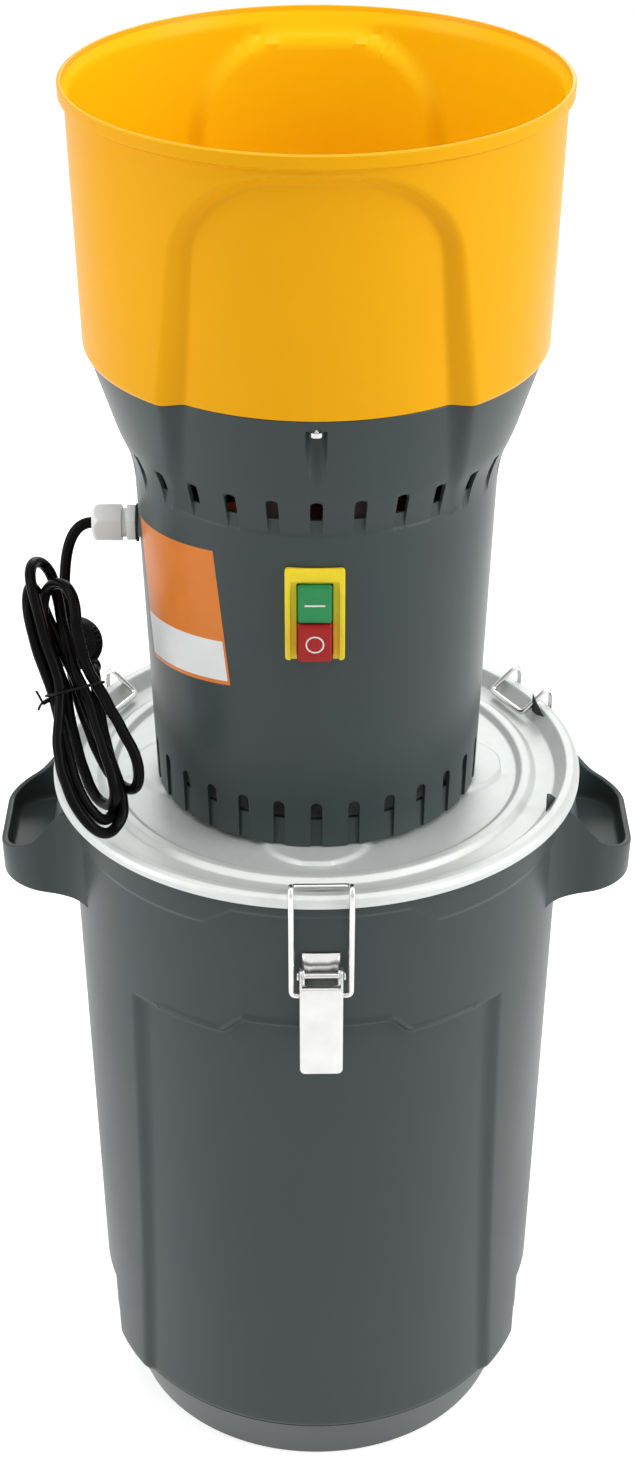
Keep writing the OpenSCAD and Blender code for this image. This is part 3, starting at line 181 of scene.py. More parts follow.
floor_links.new(floor_paint.outputs[0], floor_sum.inputs[0])
floor_links.new(floor_glow.outputs[0], floor_sum.inputs[1])
floor_links.new(sees_backdrop(floor_nodes, floor_links, floor_path), floor_pick.inputs[0])
floor_links.new(floor_paint.outputs[0], floor_pick.inputs[1])
floor_links.new(floor_sum.outputs[0], floor_pick.inputs[2])
floor_links.new(floor_pick.outputs[0], floor_out.inputs[0])
floor_obj.data.materials.append(floor_finish)

# ------------------------------------------------------------------ mains cord
# One black sheathed lead of 7.7 mm, about 1.5 m long: it leaves the gland on the
# left, drops to the back of its own hank, runs up and down four times between
# seven folds, is drawn together by a twist tie, and ends in a moulded plug.
mm = 0.001
cord_dia = 0.0077
cord_exit = (-0.1537, 0.0, 0.7418)
hank_foot = Vector((-0.1445, -0.1265, 0.566))
hank_turned = Matrix.Rotation(radians(-83.6), 4, "Z") @ Matrix.Rotation(radians(-28.3), 4, "Y")
hank_place = Matrix.Translation(hank_foot) @ (hank_turned @ Matrix.Rotation(radians(10.7), 4, "X"))
lead_route = [
    cord_exit, (-0.1574, 0, 0.7418), (-0.1613, -0.0003, 0.7400), (-0.1646, -0.0008, 0.7371),
    (-0.1670, -0.0016, 0.7339), (-0.1689, -0.0027, 0.7303), (-0.1702, -0.0040, 0.7266),
    (-0.1713, -0.0054, 0.7229), (-0.1720, -0.0071, 0.7192), (-0.1726, -0.0089, 0.7156),
    (-0.1729, -0.0108, 0.7119), (-0.1732, -0.0129, 0.7084), (-0.1733, -0.0151, 0.7049),
    (-0.1734, -0.0173, 0.7014), (-0.1733, -0.0197, 0.6981), (-0.1713, -0.0435, 0.6815),
    (-0.1684, -0.0528, 0.6743),
]
# The folds, in whole millimetres of the hank's own frame: out towards the front,
# across to the right, and up along the hank.
hank_folds = [
    # behind the hank, down to the tie
    (-15, 7, 120), (-13, 6, 111),
    # outer fold at the lower right
    (-10, 6, 101), (-10, 6, 91), (-12, 7, 81), (-15, 8, 72), (-19, 9, 62), (-23, 11, 53), (-26, 13, 44),
    (-25, 17, 35), (-19, 22, 29), (-11, 26, 27), (-2, 30, 29), (4, 33, 36), (9, 34, 45), (10, 33, 55),
    (10, 30, 65), (9, 28, 75), (8, 25, 84), (6, 23, 94),
    # near fold at the top
    (5, 20, 103), (6, 17, 113), (9, 16, 123), (12, 16, 132), (15, 16, 142), (17, 18, 151), (17, 19, 161),
    (13, 17, 170), (5, 13, 174), (-3, 8, 175), (-10, 2, 171), (-11, -2, 162), (-10, -4, 153),
    (-8, -4, 143), (-7, -4, 133), (-7, -3, 123), (-5, -2, 113), (-5, -1, 103),
    # second fold at the bottom
    (-6, -2, 93), (-9, -3, 83), (-12, -3, 74), (-15, -3, 64), (-17, -3, 54), (-19, -2, 45), (-18, -1, 35),
    (-14, 2, 26), (-6, 6, 22), (3, 10, 21), (10, 14, 27), (13, 15, 37), (13, 15, 47), (12, 14, 57),
    (10, 14, 66), (8, 13, 76), (6, 13, 86), (5, 12, 96),
    # far fold at the top left
    (5, 10, 106), (3, 8, 115), (0, 8, 125), (-4, 8, 134), (-8, 8, 143), (-14, 8, 152), (-17, 9, 161),
    (-19, 9, 171), (-18, 9, 181), (-13, 6, 189), (-5, 2, 192), (4, -2, 191), (12, -5, 185), (17, -6, 177),
    (18, -6, 167), (17, -6, 157), (15, -6, 147), (12, -6, 138), (9, -5, 128), (7, -4, 118), (5, -4, 108),
    # long fold at the bottom
    (5, -6, 99), (7, -9, 89), (10, -12, 80), (13, -15, 71), (15, -16, 62), (18, -17, 52), (20, -16, 42),
    (21, -15, 32), (21, -12, 22), (20, -8, 13), (15, -3, 6), (8, 3, 3), (1, 9, 5), (-2, 16, 12),
    (-6, 18, 21), (-8, 19, 30), (-10, 18, 40), (-11, 17, 50), (-10, 15, 60), (-8, 13, 69), (-6, 11, 79),
    (-3, 10, 89), (-3, 9, 98),
    # third fold at the top
    (-4, 8, 108), (-6, 6, 118), (-9, 4, 127), (-12, 3, 137), (-15, 1, 146), (-18, -1, 156), (-19, -2, 165),
    (-15, -4, 174), (-6, -7, 177), (2, -10, 172), (7, -12, 164), (8, -13, 154), (7, -13, 144),
    (5, -13, 134), (3, -12, 124), (0, -11, 115), (-3, -10, 105),
    # inner fold at the bottom
    (-3, -10, 95), (0, -10, 86), (3, -10, 76), (6, -10, 67), (9, -10, 57), (11, -10, 47), (14, -9, 38),
    (15, -7, 28), (14, -3, 19), (8, 1, 13), (-1, 6, 12), (-9, 11, 16), (-14, 14, 24), (-16, 16, 34),
    (-19, 17, 43), (-19, 17, 53), (-17, 17, 63), (-14, 17, 73), (-11, 18, 82), (-8, 18, 92),
    # up to the plug
    (-9, 20, 102), (-15, 21, 110), (-23, 21, 115),
]


def ease(v):
    """Smooth step of v from 0 to 1."""
    v = min(max(v, 0.0), 1.0)
    return v * v * (3 - 2 * v)


def curve_through(points, steps):
    """A smooth curve through every one of the points."""
    pts = [Vector(p) for p in points]
    pts = [pts[0] * 2 - pts[1]] + pts + [pts[-1] * 2 - pts[-2]]
    line = []
    for a, b, c, d in zip(pts, pts[1:], pts[2:], pts[3:]):
        square = a * 2 - b * 5 + c * 4 - d
        cube = b * 3 - a - c * 3 + d
        for k in range(steps):
            t = k / steps
            line.append((b * 2 + (c - a) * t + square * t * t + cube * t ** 3) / 2)
    return line + [pts[-2]]


def smooth_line(points, rounds):
    """The points with their corners eased, ends kept."""
    pts = [Vector(p) for p in points]
    for _ in range(rounds):
        eased = [(a + b * 2 + c) / 4 for a, b, c in zip(pts, pts[1:], pts[2:])]
        pts = [pts[0]] + eased + [pts[-1]]
    return pts


def even_line(points, gap):
    """Points a steady gap apart along the line through the given ones."""
    pts = [Vector(p) for p in points]
    run = [0.0]
    for a, b in zip(pts, pts[1:]):
        run.append(run[-1] + (b - a).length)
    count = max(2, int(round(run[-1] / gap)))
    made, k = [], 0
    for i in range(count + 1):
        want = run[-1] * i / count
        while k < len(pts) - 2 and run[k + 1] < want:
            k += 1
        share = (want - run[k]) / max(run[k + 1] - run[k], 1e-9)
        made.append(pts[k].lerp(pts[k + 1], min(max(share, 0), 1)))
    return made


cord_points = [Vector(p) for p in lead_route] + [hank_place @ (Vector(p) * mm) for p in hank_folds]
point_gap = 0.003
cord_line = smooth_line(even_line(curve_through(cord_points, 8), point_gap), 2)


def ring_faces(rows, count, closed=False):
    """Faces between rows of rings with equal counts; closed joins the last ring to the first."""
    faces = []
    for i in range(rows if closed else rows - 1):
        j = (i + 1) % rows
        for k in range(count):
            m = (k + 1) % count
            faces.append((i * count + k, i * count + m, j * count + m, j * count + k))
    return faces


def circle(sides):
    """Unit circle as (across, up) points."""
    return [(cos(2 * pi * k / sides), sin(2 * pi * k / sides)) for k in range(sides)]


def wire_along(name, points, radius, sides=12, closed=False):
    """A round wire as a closed mesh, its rings carried along the line without twist."""
    pts = [Vector(p) for p in points]
    n = len(pts)
    ahead = []
    for i in range(n):
        a = pts[i - 1] if i or closed else pts[0]
        b = pts[(i + 1) % n] if i < n - 1 or closed else pts[-1]
        ahead.append((b - a).normalized())
    side = ahead[0].orthogonal().normalized()
    rings = []
    for i in range(n):
        if i:
            side = (ahead[i - 1].rotation_difference(ahead[i]) @ side).normalized()
        side = (side - ahead[i] * side.dot(ahead[i])).normalized()
        other = ahead[i].cross(side)
        r = radius(i / (n - 1)) if callable(radius) else radius
        rings.append([pts[i] + (side * c + other * v) * r for c, v in circle(sides)])
    verts = [p for ring in rings for p in ring]
    faces = ring_faces(n, sides, closed)
    if not closed:
        faces.append(tuple(range(sides))[::-1])
        faces.append(tuple((n - 1) * sides + k for k in range(sides)))
    return plain_mesh(name, verts, faces)


def finish_material(name, colour, roughness, specular, metallic=0.0):
    """A Principled material with the constants on its own sockets."""
    made = bpy.data.materials.new(name)
    made.use_nodes = True
    skin = made.node_tree.nodes["Principled BSDF"]
    skin.inputs["Base Color"].default_value = (*colour, 1)
    skin.inputs["Roughness"].default_value = roughness
    skin.inputs["Specular IOR Level"].default_value = specular
    skin.inputs["Metallic"].default_value = metallic
    return made


def noise(nodes, scale, detail):
    """A noise texture node of a given scale and detail."""
    made = nodes.new("ShaderNodeTexNoise")
    made.inputs["Scale"].default_value = scale
    made.inputs["Detail"].default_value = detail
    return made


def surface(made, colour, shades, stops, tint_by, gloss_by, gloss_from, gloss_to, bump_by, depth, strength):
    """Wires a tint of the colour, an uneven gloss and a fine bump into a material's shader."""
    nodes, links = made.node_tree.nodes, made.node_tree.links
    skin = nodes["Principled BSDF"]
    tint = nodes.new("ShaderNodeValToRGB")
    for mark, stop, shade in zip(tint.color_ramp.elements, stops, shades):
        mark.position = stop
        mark.color = (*[min(1, c * shade) for c in colour], 1)
    gloss = nodes.new("ShaderNodeMapRange")
    for end, low_or_high in (("From", gloss_from), ("To", gloss_to)):
        gloss.inputs[end + " Min"].default_value = low_or_high[0]
        gloss.inputs[end + " Max"].default_value = low_or_high[1]
    bump = nodes.new("ShaderNodeBump")
    bump.inputs["Distance"].default_value = depth
    bump.inputs["Strength"].default_value = strength
    links.new(tint_by, tint.inputs["Fac"])
    links.new(tint.outputs["Color"], skin.inputs["Base Color"])
    links.new(gloss_by, gloss.inputs["Value"])
    links.new(gloss.outputs["Result"], skin.inputs["Roughness"])
    links.new(bump_by, bump.inputs["Height"])
    links.new(bump.outputs["Normal"], skin.inputs["Normal"])
    return made


def moulded(name, colour, roughness, specular=0.22, tint=0.06, cloud=7.0, grain=900.0, depth=0.00006):
    """Plastic, rubber or paint: a cloudy tint, uneven gloss and a fine grain, in object coordinates."""
    made = finish_material(name, colour, roughness, specular)
    nodes, links = made.node_tree.nodes, made.node_tree.links
    place = nodes.new("ShaderNodeTexCoord")
    clouds = noise(nodes, cloud, 3)
    speck = noise(nodes, grain, 2)
    for texture in (clouds, speck):
        links.new(place.outputs["Object"], texture.inputs["Vector"])
    uneven = (roughness - 0.05, roughness + 0.05)
    return surface(
        made, colour, shades=(1 - tint, 1 + tint), stops=(0.3, 0.7), tint_by=clouds.outputs["Fac"],
        gloss_by=clouds.outputs["Fac"], gloss_from=(0.3, 0.7), gloss_to=uneven,
        bump_by=speck.outputs["Fac"], depth=depth, strength=0.6,
    )


def put_on(obj, made):
    """Gives a piece its material."""
    obj.data.materials.clear()
    obj.data.materials.append(made)
    return obj


sheath = moulded("cord_sheath", (0.004, 0.004, 0.004), 0.27, 0.05, tint=0.15, grain=1500, depth=0.00003)
mains_cord = put_on(wire_along("mains_cord", cord_line, cord_dia / 2, 16), sheath)
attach(mains_cord, "stand")
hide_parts("cord_lead", "cord_hank")

# ------------------------------------------------------------------ cord tie
# A black plastic-coated twist tie goes once round the middle of the hank, level
# with its waist, and is wrung together on the left, where its ends stand off.
tie_r = 0.0010
tie_up = 0.1030
tie_slack = 0.0003
tie_steps = 120
knot = Vector((-0.0015, -0.0140, 0.1000))
knot_aim = Vector((0.0, -0.9, -0.28)).normalized()
knot_long = 0.0042
knot_turns = 1.6
knot_steps = 14
hank_in = hank_place.inverted()
hank_line = [hank_in @ p for p in cord_line]
strands = []
for a, b in zip(hank_line, hank_line[1:]):
    if (a.z - tie_up) * (b.z - tie_up) <= 0:
        strands.append(a.lerp(b, (tie_up - a.z) / (b.z - a.z)))
round_strands = []
for c, v in circle(tie_steps):
    out = Vector((c, v, 0))
    far = max(strands, key=lambda p: p.dot(out))
    round_strands.append(far + out * (cord_dia / 2 + tie_r + tie_slack))
round_strands = smooth_line(even_line(round_strands + round_strands[:1], 0.0012), 4)[:-1]


def wrung_end(turn_from, tip):
    """One of the tie's two ends: wound round its fellow at the knot, then bent away to its tip."""
    line = []
    for k in range(knot_steps + 1):
        a = turn_from + 2 * pi * knot_turns * k / knot_steps
        line.append(knot + knot_aim * knot_long * k / knot_steps + Vector((cos(a), 0, sin(a))) * tie_r * 0.95)
    halfway = line[-1].lerp(Vector(tip), 0.5) + Vector((0, 0, 0.0006))
    return curve_through([line[0]] + line[2::2] + [halfway, Vector(tip)], 4)


tie_parts = [wire_along("twist_tie", [hank_place @ p for p in round_strands], tie_r, 10, closed=True)]
for name, turn_from, tip in (
    ("twist_tie_end_up", 0.0, (-0.002, -0.0205, 0.1080)),
    ("twist_tie_end_down", pi, (0.002, -0.0222, 0.0952)),
):
    tie_parts.append(wire_along(name, [hank_place @ p for p in wrung_end(turn_from, tip)], tie_r * 0.85, 10))
tie_skin = moulded("tie_plastic", (0.005, 0.005, 0.005), 0.38, 0.1, tint=0.1, grain=2200, depth=0.00003)
for piece in tie_parts:
    put_on(piece, tie_skin)
    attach(piece, "stand")
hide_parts("cord_tie")

# ------------------------------------------------------------------ plug
# The mains plug is moulded on in black rubber and lies behind the hank: a round
# body with grip ribs, a bent ribbed boot for the cord and two nickelled pins.
plug_at = Vector((-0.027, 0.0138, 0.133))
plug_r = 0.0185
plug_deep = 0.024
pin_apart = 0.0095
pin_r = 0.0024
pin_turn = radians(20)


def rounded(points, radii, steps=4):
    """A line of (across, up) points with each corner turned on its own radius."""
    line = []
    for i, (p, r) in enumerate(zip(points, radii)):
        p = Vector(p)
        if r <= 0 or i in (0, len(points) - 1):
            line += [tuple(p)] * (1 if r <= 0 else steps + 1)
            continue
        a, b = Vector(points[i - 1]) - p, Vector(points[i + 1]) - p
        la, lb = a.length, b.length
        if la < 1e-9 or lb < 1e-9:
            line += [tuple(p)] * (steps + 1)
            continue
        a, b = a / la, b / lb
        half = acos(max(-1, min(1, a.dot(b)))) / 2
        reach = min(r / max(tan(half), 1e-6), la * 0.49, lb * 0.49)
        start, stop = p + a * reach, p + b * reach
        for k in range(steps + 1):
            t = k / steps
            line.append(tuple((1 - t) ** 2 * start + 2 * t * (1 - t) * p + t * t * stop))
    return line


def ring_skin(name, rings, close_ends=True):
    """A closed skin over rings of equal count, the ends capped or joined to each other."""
    n = len(rings[0])
    points = [p for ring in rings for p in ring]
    faces = ring_faces(len(rings), n, closed=not close_ends)
    if close_ends:
        for first, ring in ((True, rings[0]), (False, rings[-1])):
            middle = sum((Vector(p) for p in ring), Vector()) / n
            points.append(tuple(middle))
            base = 0 if first else (len(rings) - 1) * n
            tip = len(points) - 1
            for k in range(n):
                m = (k + 1) % n
                faces.append((base + m, base + k, tip) if first else (base + k, base + m, tip))
    return plain_mesh(name, points, faces)


def crisp(obj, angle=34):
    """Smooth shading that stays sharp over real edges."""
    obj.data.set_sharp_from_angle(angle=radians(angle))
    return obj


def in_hank(across, along, up):
    """Point from plug measures: across and up over its face, and along its axis to the back."""
    return hank_place @ (plug_at + Vector((-along, across, up)))


groove_r = plug_r - 0.0008
plug_line = rounded(
    [
        (0, 0), (0.0140, 0), (plug_r, 0.0060), (plug_r, 0.0165), (groove_r, 0.0170), (groove_r, 0.0178),
        (plug_r, 0.0183), (plug_r, plug_deep), (0, plug_deep),
    ],
    [0, 0.0030, 0.0040, 0.0003, 0.0002, 0.0002, 0.0003, 0.0016, 0], 5,
)
plug_rings = [[in_hank(r * c, deep, r * v) for c, v in circle(72)] for r, deep in plug_line[1:-1]]
plug_body = crisp(ring_skin("plug_body", plug_rings), 40)
rib_count = 7
rib_r = 0.00075
rib_first, rib_apart = -44, 12
rib_run = [
    (0.0080, 0.0001), (0.0110, 0.0001), (0.0135, 0.0002),
    (0.0152, 0.0016), (0.0168, 0.0038), (0.0180, 0.0058),
]
ribs = []
for k in range(rib_count):
    a = radians(rib_first + rib_apart * k)
    line = [in_hank(r * cos(a), deep, r * sin(a)) for r, deep in rib_run]
    ribs.append(wire_along("grip_rib_%d" % k, curve_through(line, 3), rib_r, 8))
boot_start_r, boot_taper = 0.0066, 0.0019
boot_rib, boot_rib_count = 0.0005, 6.5


def boot_r(t):
    """Radius of the boot along its length: tapered, with a raised rib every few millimetres."""
    ribbed = 1 if 0.12 < t < 0.95 else 0
    return boot_start_r - boot_taper * t + boot_rib * max(0, cos(2 * pi * (t * boot_rib_count))) * ribbed


boot_points = [
    in_hank(0.0, 0.009, -0.006), in_hank(0.0030, 0.0075, -0.0120), in_hank(0.0062, 0.0050, -0.0165),
    hank_place @ Vector((-0.0270, 0.0211, 0.1150)), hank_place @ Vector((-0.0205, 0.0210, 0.1136)),
]
cord_boot = wire_along("cord_boot", even_line(curve_through(boot_points, 8), 0.0005), boot_r, 28)
plug_skin = moulded("plug_rubber", (0.008, 0.008, 0.0085), 0.5, 0.12, tint=0.1, grain=1500, depth=0.00005)


def joined(name, pieces):
    """Several closed meshes as one piece."""
    whole = bmesh.new()
    for piece in pieces:
        whole.from_mesh(piece.data)
    mesh = bpy.data.meshes.new(name)
    whole.to_mesh(mesh)
    whole.free()
    for piece in pieces:
        bpy.data.objects.remove(piece, do_unlink=True)
    made = bpy.data.objects.new(name, mesh)
    scene.collection.objects.link(made)
    return made


grip = joined("plug_grip_ribs", ribs)
plug_pieces = [put_on(piece, plug_skin) for piece in (plug_body, cord_boot, grip)]
for piece in plug_pieces:
    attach(piece, "stand")
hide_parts("cord_plug")


def plated(name, colour, roughness, metallic=1.0, streak=(1, 1, 1), scuff=0.08):
    """Nickel, zinc or bare metal: uneven gloss, a cloudy tint and fine scuffs, in object coordinates."""
    made = finish_material(name, colour, roughness, 0.5, metallic)
    nodes, links = made.node_tree.nodes, made.node_tree.links
    place = nodes.new("ShaderNodeTexCoord")
    stretch = nodes.new("ShaderNodeMapping")
    stretch.inputs["Scale"].default_value = streak
    haze = noise(nodes, 45, 4)
    fine = noise(nodes, 700, 2)
    links.new(place.outputs["Object"], stretch.inputs["Vector"])
    links.new(place.outputs["Object"], haze.inputs["Vector"])
    links.new(stretch.outputs["Vector"], fine.inputs["Vector"])
    uneven = (max(0.03, roughness - scuff), roughness + scuff)
    return surface(
        made, colour, shades=(0.90, 1.06), stops=(0.32, 0.68), tint_by=haze.outputs["Fac"],
        gloss_by=haze.outputs["Fac"], gloss_from=(0.3, 0.7), gloss_to=uneven,
        bump_by=fine.outputs["Fac"], depth=0.00004, strength=0.4,
    )


pin_skin = plated("pin_nickel", (0.72, 0.71, 0.67), 0.22)
for name, side in (("plug_pin_right", 1), ("plug_pin_left", -1)):
    spot = Vector((cos(pin_turn), sin(pin_turn))) * pin_apart * side
    line = rounded([(0, 0.0232), (pin_r, 0.0232), (pin_r, 0.0424), (0, 0.0430)], [0, 0, 0.0014, 0], 5)
    pin_rings = []
    for r, deep in line[1:-1]:
        pin_rings.append([in_hank(spot.y + r * c, deep, spot.x + r * v) for c, v in circle(28)])
    pin = put_on(crisp(ring_skin(name, pin_rings), 40), pin_skin)
    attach(pin, "stand")

# ------------------------------------------------------------------ flour drum
# The drum is one blow-moulded bin of dark slate polypropylene, satin and finely
# grained, 3 mm thick: a tapered foot, a nearly straight wall with a sunk panel
# front and back, a stacking notch low on each side and a thicker collar.
drum_h = 0.5518
wall_t = 0.003
wall_foot_r, wall_opens = 0.1681, 0.02
foot_top = 0.046
foot_r = 0.1636
flange_r = 0.1865
latch_turns = (radians(1), radians(121), radians(241))
slate = (0.048, 0.062, 0.0605)
# The panel: half its width where it is measured, how it narrows upwards, how it
# runs in above the foot, its flank, and its top edge, which steps up to the middle.
panel_ends = radians(62)
panel_half_w = 0.1234
panel_mid_z = 0.238
panel_narrows = tan(radians(3.7))
panel_deep = 0.0045
panel_low_z, panel_run_in = 0.06, 0.004
panel_flank = 0.4
panel_top = 0.4305
panel_step = 0.014
step_x, step_w = 0.0685, 0.0185
crest_high, crest_half_w, crest_above = 0.0018, 0.0036, 0.0006
# The stacking notches, and the collar, whose foot rises beside each latch.
notch_top, notch_half_w, notch_deep = 0.1, 0.0555, 0.004
notch_flank, notch_roof = 1.6, 0.8
notch_zone, notch_ends = 0.115, radians(24)
collar_zone, collar_low, collar_high, collar_t = 0.505, 0.520, 0.535, 0.0014
collar_step_x, collar_slope = 0.061, 0.76
latch_reach = radians(40)


def wall_r(z):
    """Outside radius of the drum's plain wall, which opens a little upwards."""
    return wall_foot_r + wall_opens * z


def soft_min(a, b, k):
    """The lesser of two lengths, blended over k where they meet."""
    h = max(k - abs(a - b), 0) / k
    return min(a, b) - h * h * k / 4


def soft_max(a, b, k):
    """The greater of two lengths, blended over k where they meet."""
    return -soft_min(-a, -b, k)


def off_front(turn):
    """Angle from the nearer of the front and the back."""
    a = (turn + pi) % (2 * pi) - pi
    return abs(a) if abs(a) < pi / 2 else pi - abs(a)


def panelled(plain, a, z):
    """The wall's radius with the sunk panel and the crest over it."""
    half_w = panel_half_w - panel_narrows * (z - panel_mid_z)
    floor_r = plain - panel_deep
    if z < panel_low_z:
        floor_r = plain - panel_deep * ease((z - foot_top + panel_run_in) / panel_run_in)
    corner_y = sqrt((wall_r(panel_mid_z) - panel_deep) ** 2 - half_w ** 2)
    flank = (corner_y + panel_flank * half_w) / (cos(a) + panel_flank * sin(a))
    x = plain * sin(a)
    high = panel_top + panel_step * ease((step_x - x) / step_w)
    ledge = wall_r(high) + z - high
    r = soft_min(plain, soft_max(soft_max(floor_r, flank, 0.0018), ledge, 0.0014), 0.0012)
    off = abs(z - high - crest_above) / crest_half_w
    if off < 1:
        r += crest_high * (1 - off * off) ** 2 * ease((half_w + 0.004 - x) / 0.004)
    return r


def drum_r(turn, z):
    """Outside radius of the drum at an angle from the front and a height."""
    plain = wall_r(z)
    a = off_front(turn)
    r = panelled(plain, a, z) if a < panel_ends else plain
    side = abs(abs(a) - pi / 2)
    if z < notch_zone and side < notch_ends:
        floor_r = plain - notch_deep
        sunk = soft_max(floor_r, floor_r + (plain * sin(side) - notch_half_w) * notch_flank, 0.002)
        sunk = soft_max(sunk, floor_r + (z - notch_top) * notch_roof, 0.002)
        r = soft_min(r, sunk, 0.0016)
    if z > collar_zone:
        foot = collar_low
        for latch in latch_turns:
            d = abs((turn - latch + pi) % (2 * pi) - pi)
            if d < latch_reach:
                beside = plain * sin(d) - collar_step_x
                foot = max(foot, min(collar_high, collar_high - beside * collar_slope))
        r += collar_t * ease((z - foot + 0.0006) / 0.0024)
    return r


def spread(low, high, gap):
    """Steps of about the gap from low up to, and without, high."""
    count = max(1, int(round((high - low) / gap)))
    return [low + (high - low) * i / count for i in range(count)]


def fine_turns(bands, fine, coarse):
    """Angles round the whole circle, closer together within the bands."""
    marks, a = [], 0.0
    while a < 360 - 1e-6:
        marks.append(a)
        near = any(low <= a % 360 <= high for low, high in bands)
        a += fine if near else coarse
    return [radians(m) for m in marks]


def both_sides(near, far):
    """The bands between two angles left and right of the front and of the back, in degrees."""
    ends = [((m + side * near) % 360, (m + side * far) % 360) for m in (0, 180) for side in (-1, 1)]
    return [tuple(sorted(pair)) for pair in ends]


panel_bands = both_sides(44, 52) + both_sides(17, 24)
notch_bands = [(69, 72.5), (107.5, 111), (249, 252.5), (287.5, 291)]
drum_turns = fine_turns(panel_bands + notch_bands, 0.42, 0.95)


def at(turn, r, z):
    """Point at an angle from the front, turning towards the right."""
    return (r * sin(turn), -r * cos(turn), z)


def turned_ring(r, z, turns):
    """One level ring of points round the axis."""
    return [at(t, r, z) for t in turns]


foot_points = [(0.10, 0), (0.147, 0), (foot_r, foot_top), (0.1672, foot_top + 0.0002)]
foot_line = rounded(foot_points, [0, 0.004, 0.0008, 0], 3)
rings = []
for r, z in foot_line:
    if z > 0.04 and r > foot_r:
        rings.append([at(t, min(r, drum_r(t, foot_top) - 0.0012), z) for t in drum_turns])
    else:
        rings.append(turned_ring(r, z, drum_turns))
for rise, tuck in ((0.0004, 0.0014), (0.0012, 0.0007), (0.0022, 0.0003), (0.0034, 0.0001)):
    rings.append([at(t, drum_r(t, foot_top + rise) - tuck, foot_top + rise) for t in drum_turns])
wall_zs = spread(0.051, 0.088, 0.006) + spread(0.088, 0.108, 0.0016) + spread(0.108, 0.414, 0.011)
wall_zs += spread(0.414, 0.452, 0.0012) + spread(0.452, 0.508, 0.009) + spread(0.508, 0.540, 0.0014)
for z in wall_zs + [0.540, 0.5445]:
    rings.append([at(t, drum_r(t, z), z) for t in drum_turns])
flange_line = rounded(
    [(0, 0.5445), (0, 0.5486), (flange_r, 0.5486), (flange_r, drum_h), (0.1770, drum_h), (0.1765, 0.5415)],
    [0, 0.0012, 0.0009, 0.0009, 0.001, 0], 3,
)
for r, z in flange_line[1:-1]:
    if r > flange_r - 0.02:
        rings.append([at(t, max(r, drum_r(t, z)), z) for t in drum_turns])
    else:
        rings.append([at(t, drum_r(t, z) + r, z) for t in drum_turns])
inner_zs = [0.5415, 0.534, 0.526, 0.518, 0.510, 0.500, 0.48, 0.462, 0.452, 0.447, 0.443, 0.439, 0.435, 0.431]
inner_zs += [0.427, 0.423, 0.418, 0.40] + spread(0.40, 0.112, -0.03)[1:]
inner_zs += [0.112, 0.106, 0.102, 0.098, 0.094, 0.085, 0.07, 0.056, 0.0495]
for z in inner_zs:
    rings.append([at(t, drum_r(t, z) - wall_t, z) for t in drum_turns])
floor_points = [(0.166, 0.0492), (0.1608, 0.0486), (0.1442, 0.003), (0.10, 0.003)]
floor_line = rounded(floor_points, [0, 0.002, 0.006, 0], 3)
rings += [turned_ring(r, z, drum_turns) for r, z in floor_line[1:]]
drum_shell = crisp(ring_skin("drum_shell", rings))

# ------------------------------------------------------------------ handles
# Both handles are moulded with the drum: a hollow D-shaped grip with a rounded
# lip that sweeps up to the collar, a pocket above and a finger recess below.
handle_reach = 0.229
handle_half_w = 0.054
handle_t = 0.0046
handle_high = 0.5415
root_x = 0.193
tip_x, tip_y, tip_r = 0.199, 0.024, 0.030
lip_tip_z, lip_slope = 0.5042, 0.42
lip_root_x, lip_root_z, root_slope = 0.205, 0.515, 1.2
under_root_x, under_root_z, under_slope = 0.171, 0.468, 0.185
# Radii round the drum's axis where a section's parts begin.
section_from = 0.120
inside_wall_r = 0.1764
pocket_top_r, pocket_low_r = 0.1868, 0.195
grip_from_r = 0.1835
pocket_floor = 0.4898
grip_roof = 0.4868


def lip_z(x):
    """Height of the handle's lip, which sweeps up to the collar."""
    tip = lip_tip_z + lip_slope * (handle_reach - x)
    root = lip_root_z + root_slope * (lip_root_x - x)
    return soft_max(tip, root, 0.004)


def under_z(x):
    """Height of the handle's underside."""
    return under_root_z + under_slope * (x - under_root_x)


def handle_plan():
    """Outside of one handle in plan, from its front root round its tip to its back root."""
    half = []
    p0, p1 = Vector((root_x, handle_half_w)), Vector((0.179, handle_half_w))
    p2, p3 = Vector((0.1665, 0.0595)), Vector((0.1608, 0.0715))
    for i in range(14):
        t = 1 - i / 14
        half.append(p0 * (1 - t) ** 3 + p1 * 3 * t * (1 - t) ** 2 + p2 * 3 * t * t * (1 - t) + p3 * t ** 3)
    half += [Vector((root_x + 0.006 * i / 3, handle_half_w)) for i in range(3)]
    for i in range(17):
        a = pi / 2 * (1 - i / 16)
        half.append(Vector((tip_x + tip_r * cos(a), tip_y + tip_r * sin(a))))
    half += [Vector((handle_reach, tip_y * (1 - i / 6))) for i in range(1, 7)]
    return [Vector((p.x, -p.y)) for p in half] + [p for p in reversed(half[:-1])]


def circle_hit(origin, ray, r):
    """How far along the ray it meets the circle of radius r round the axis."""
    b = origin.dot(ray)
    return -b + sqrt(max(b * b - origin.length_squared + r * r, 0))


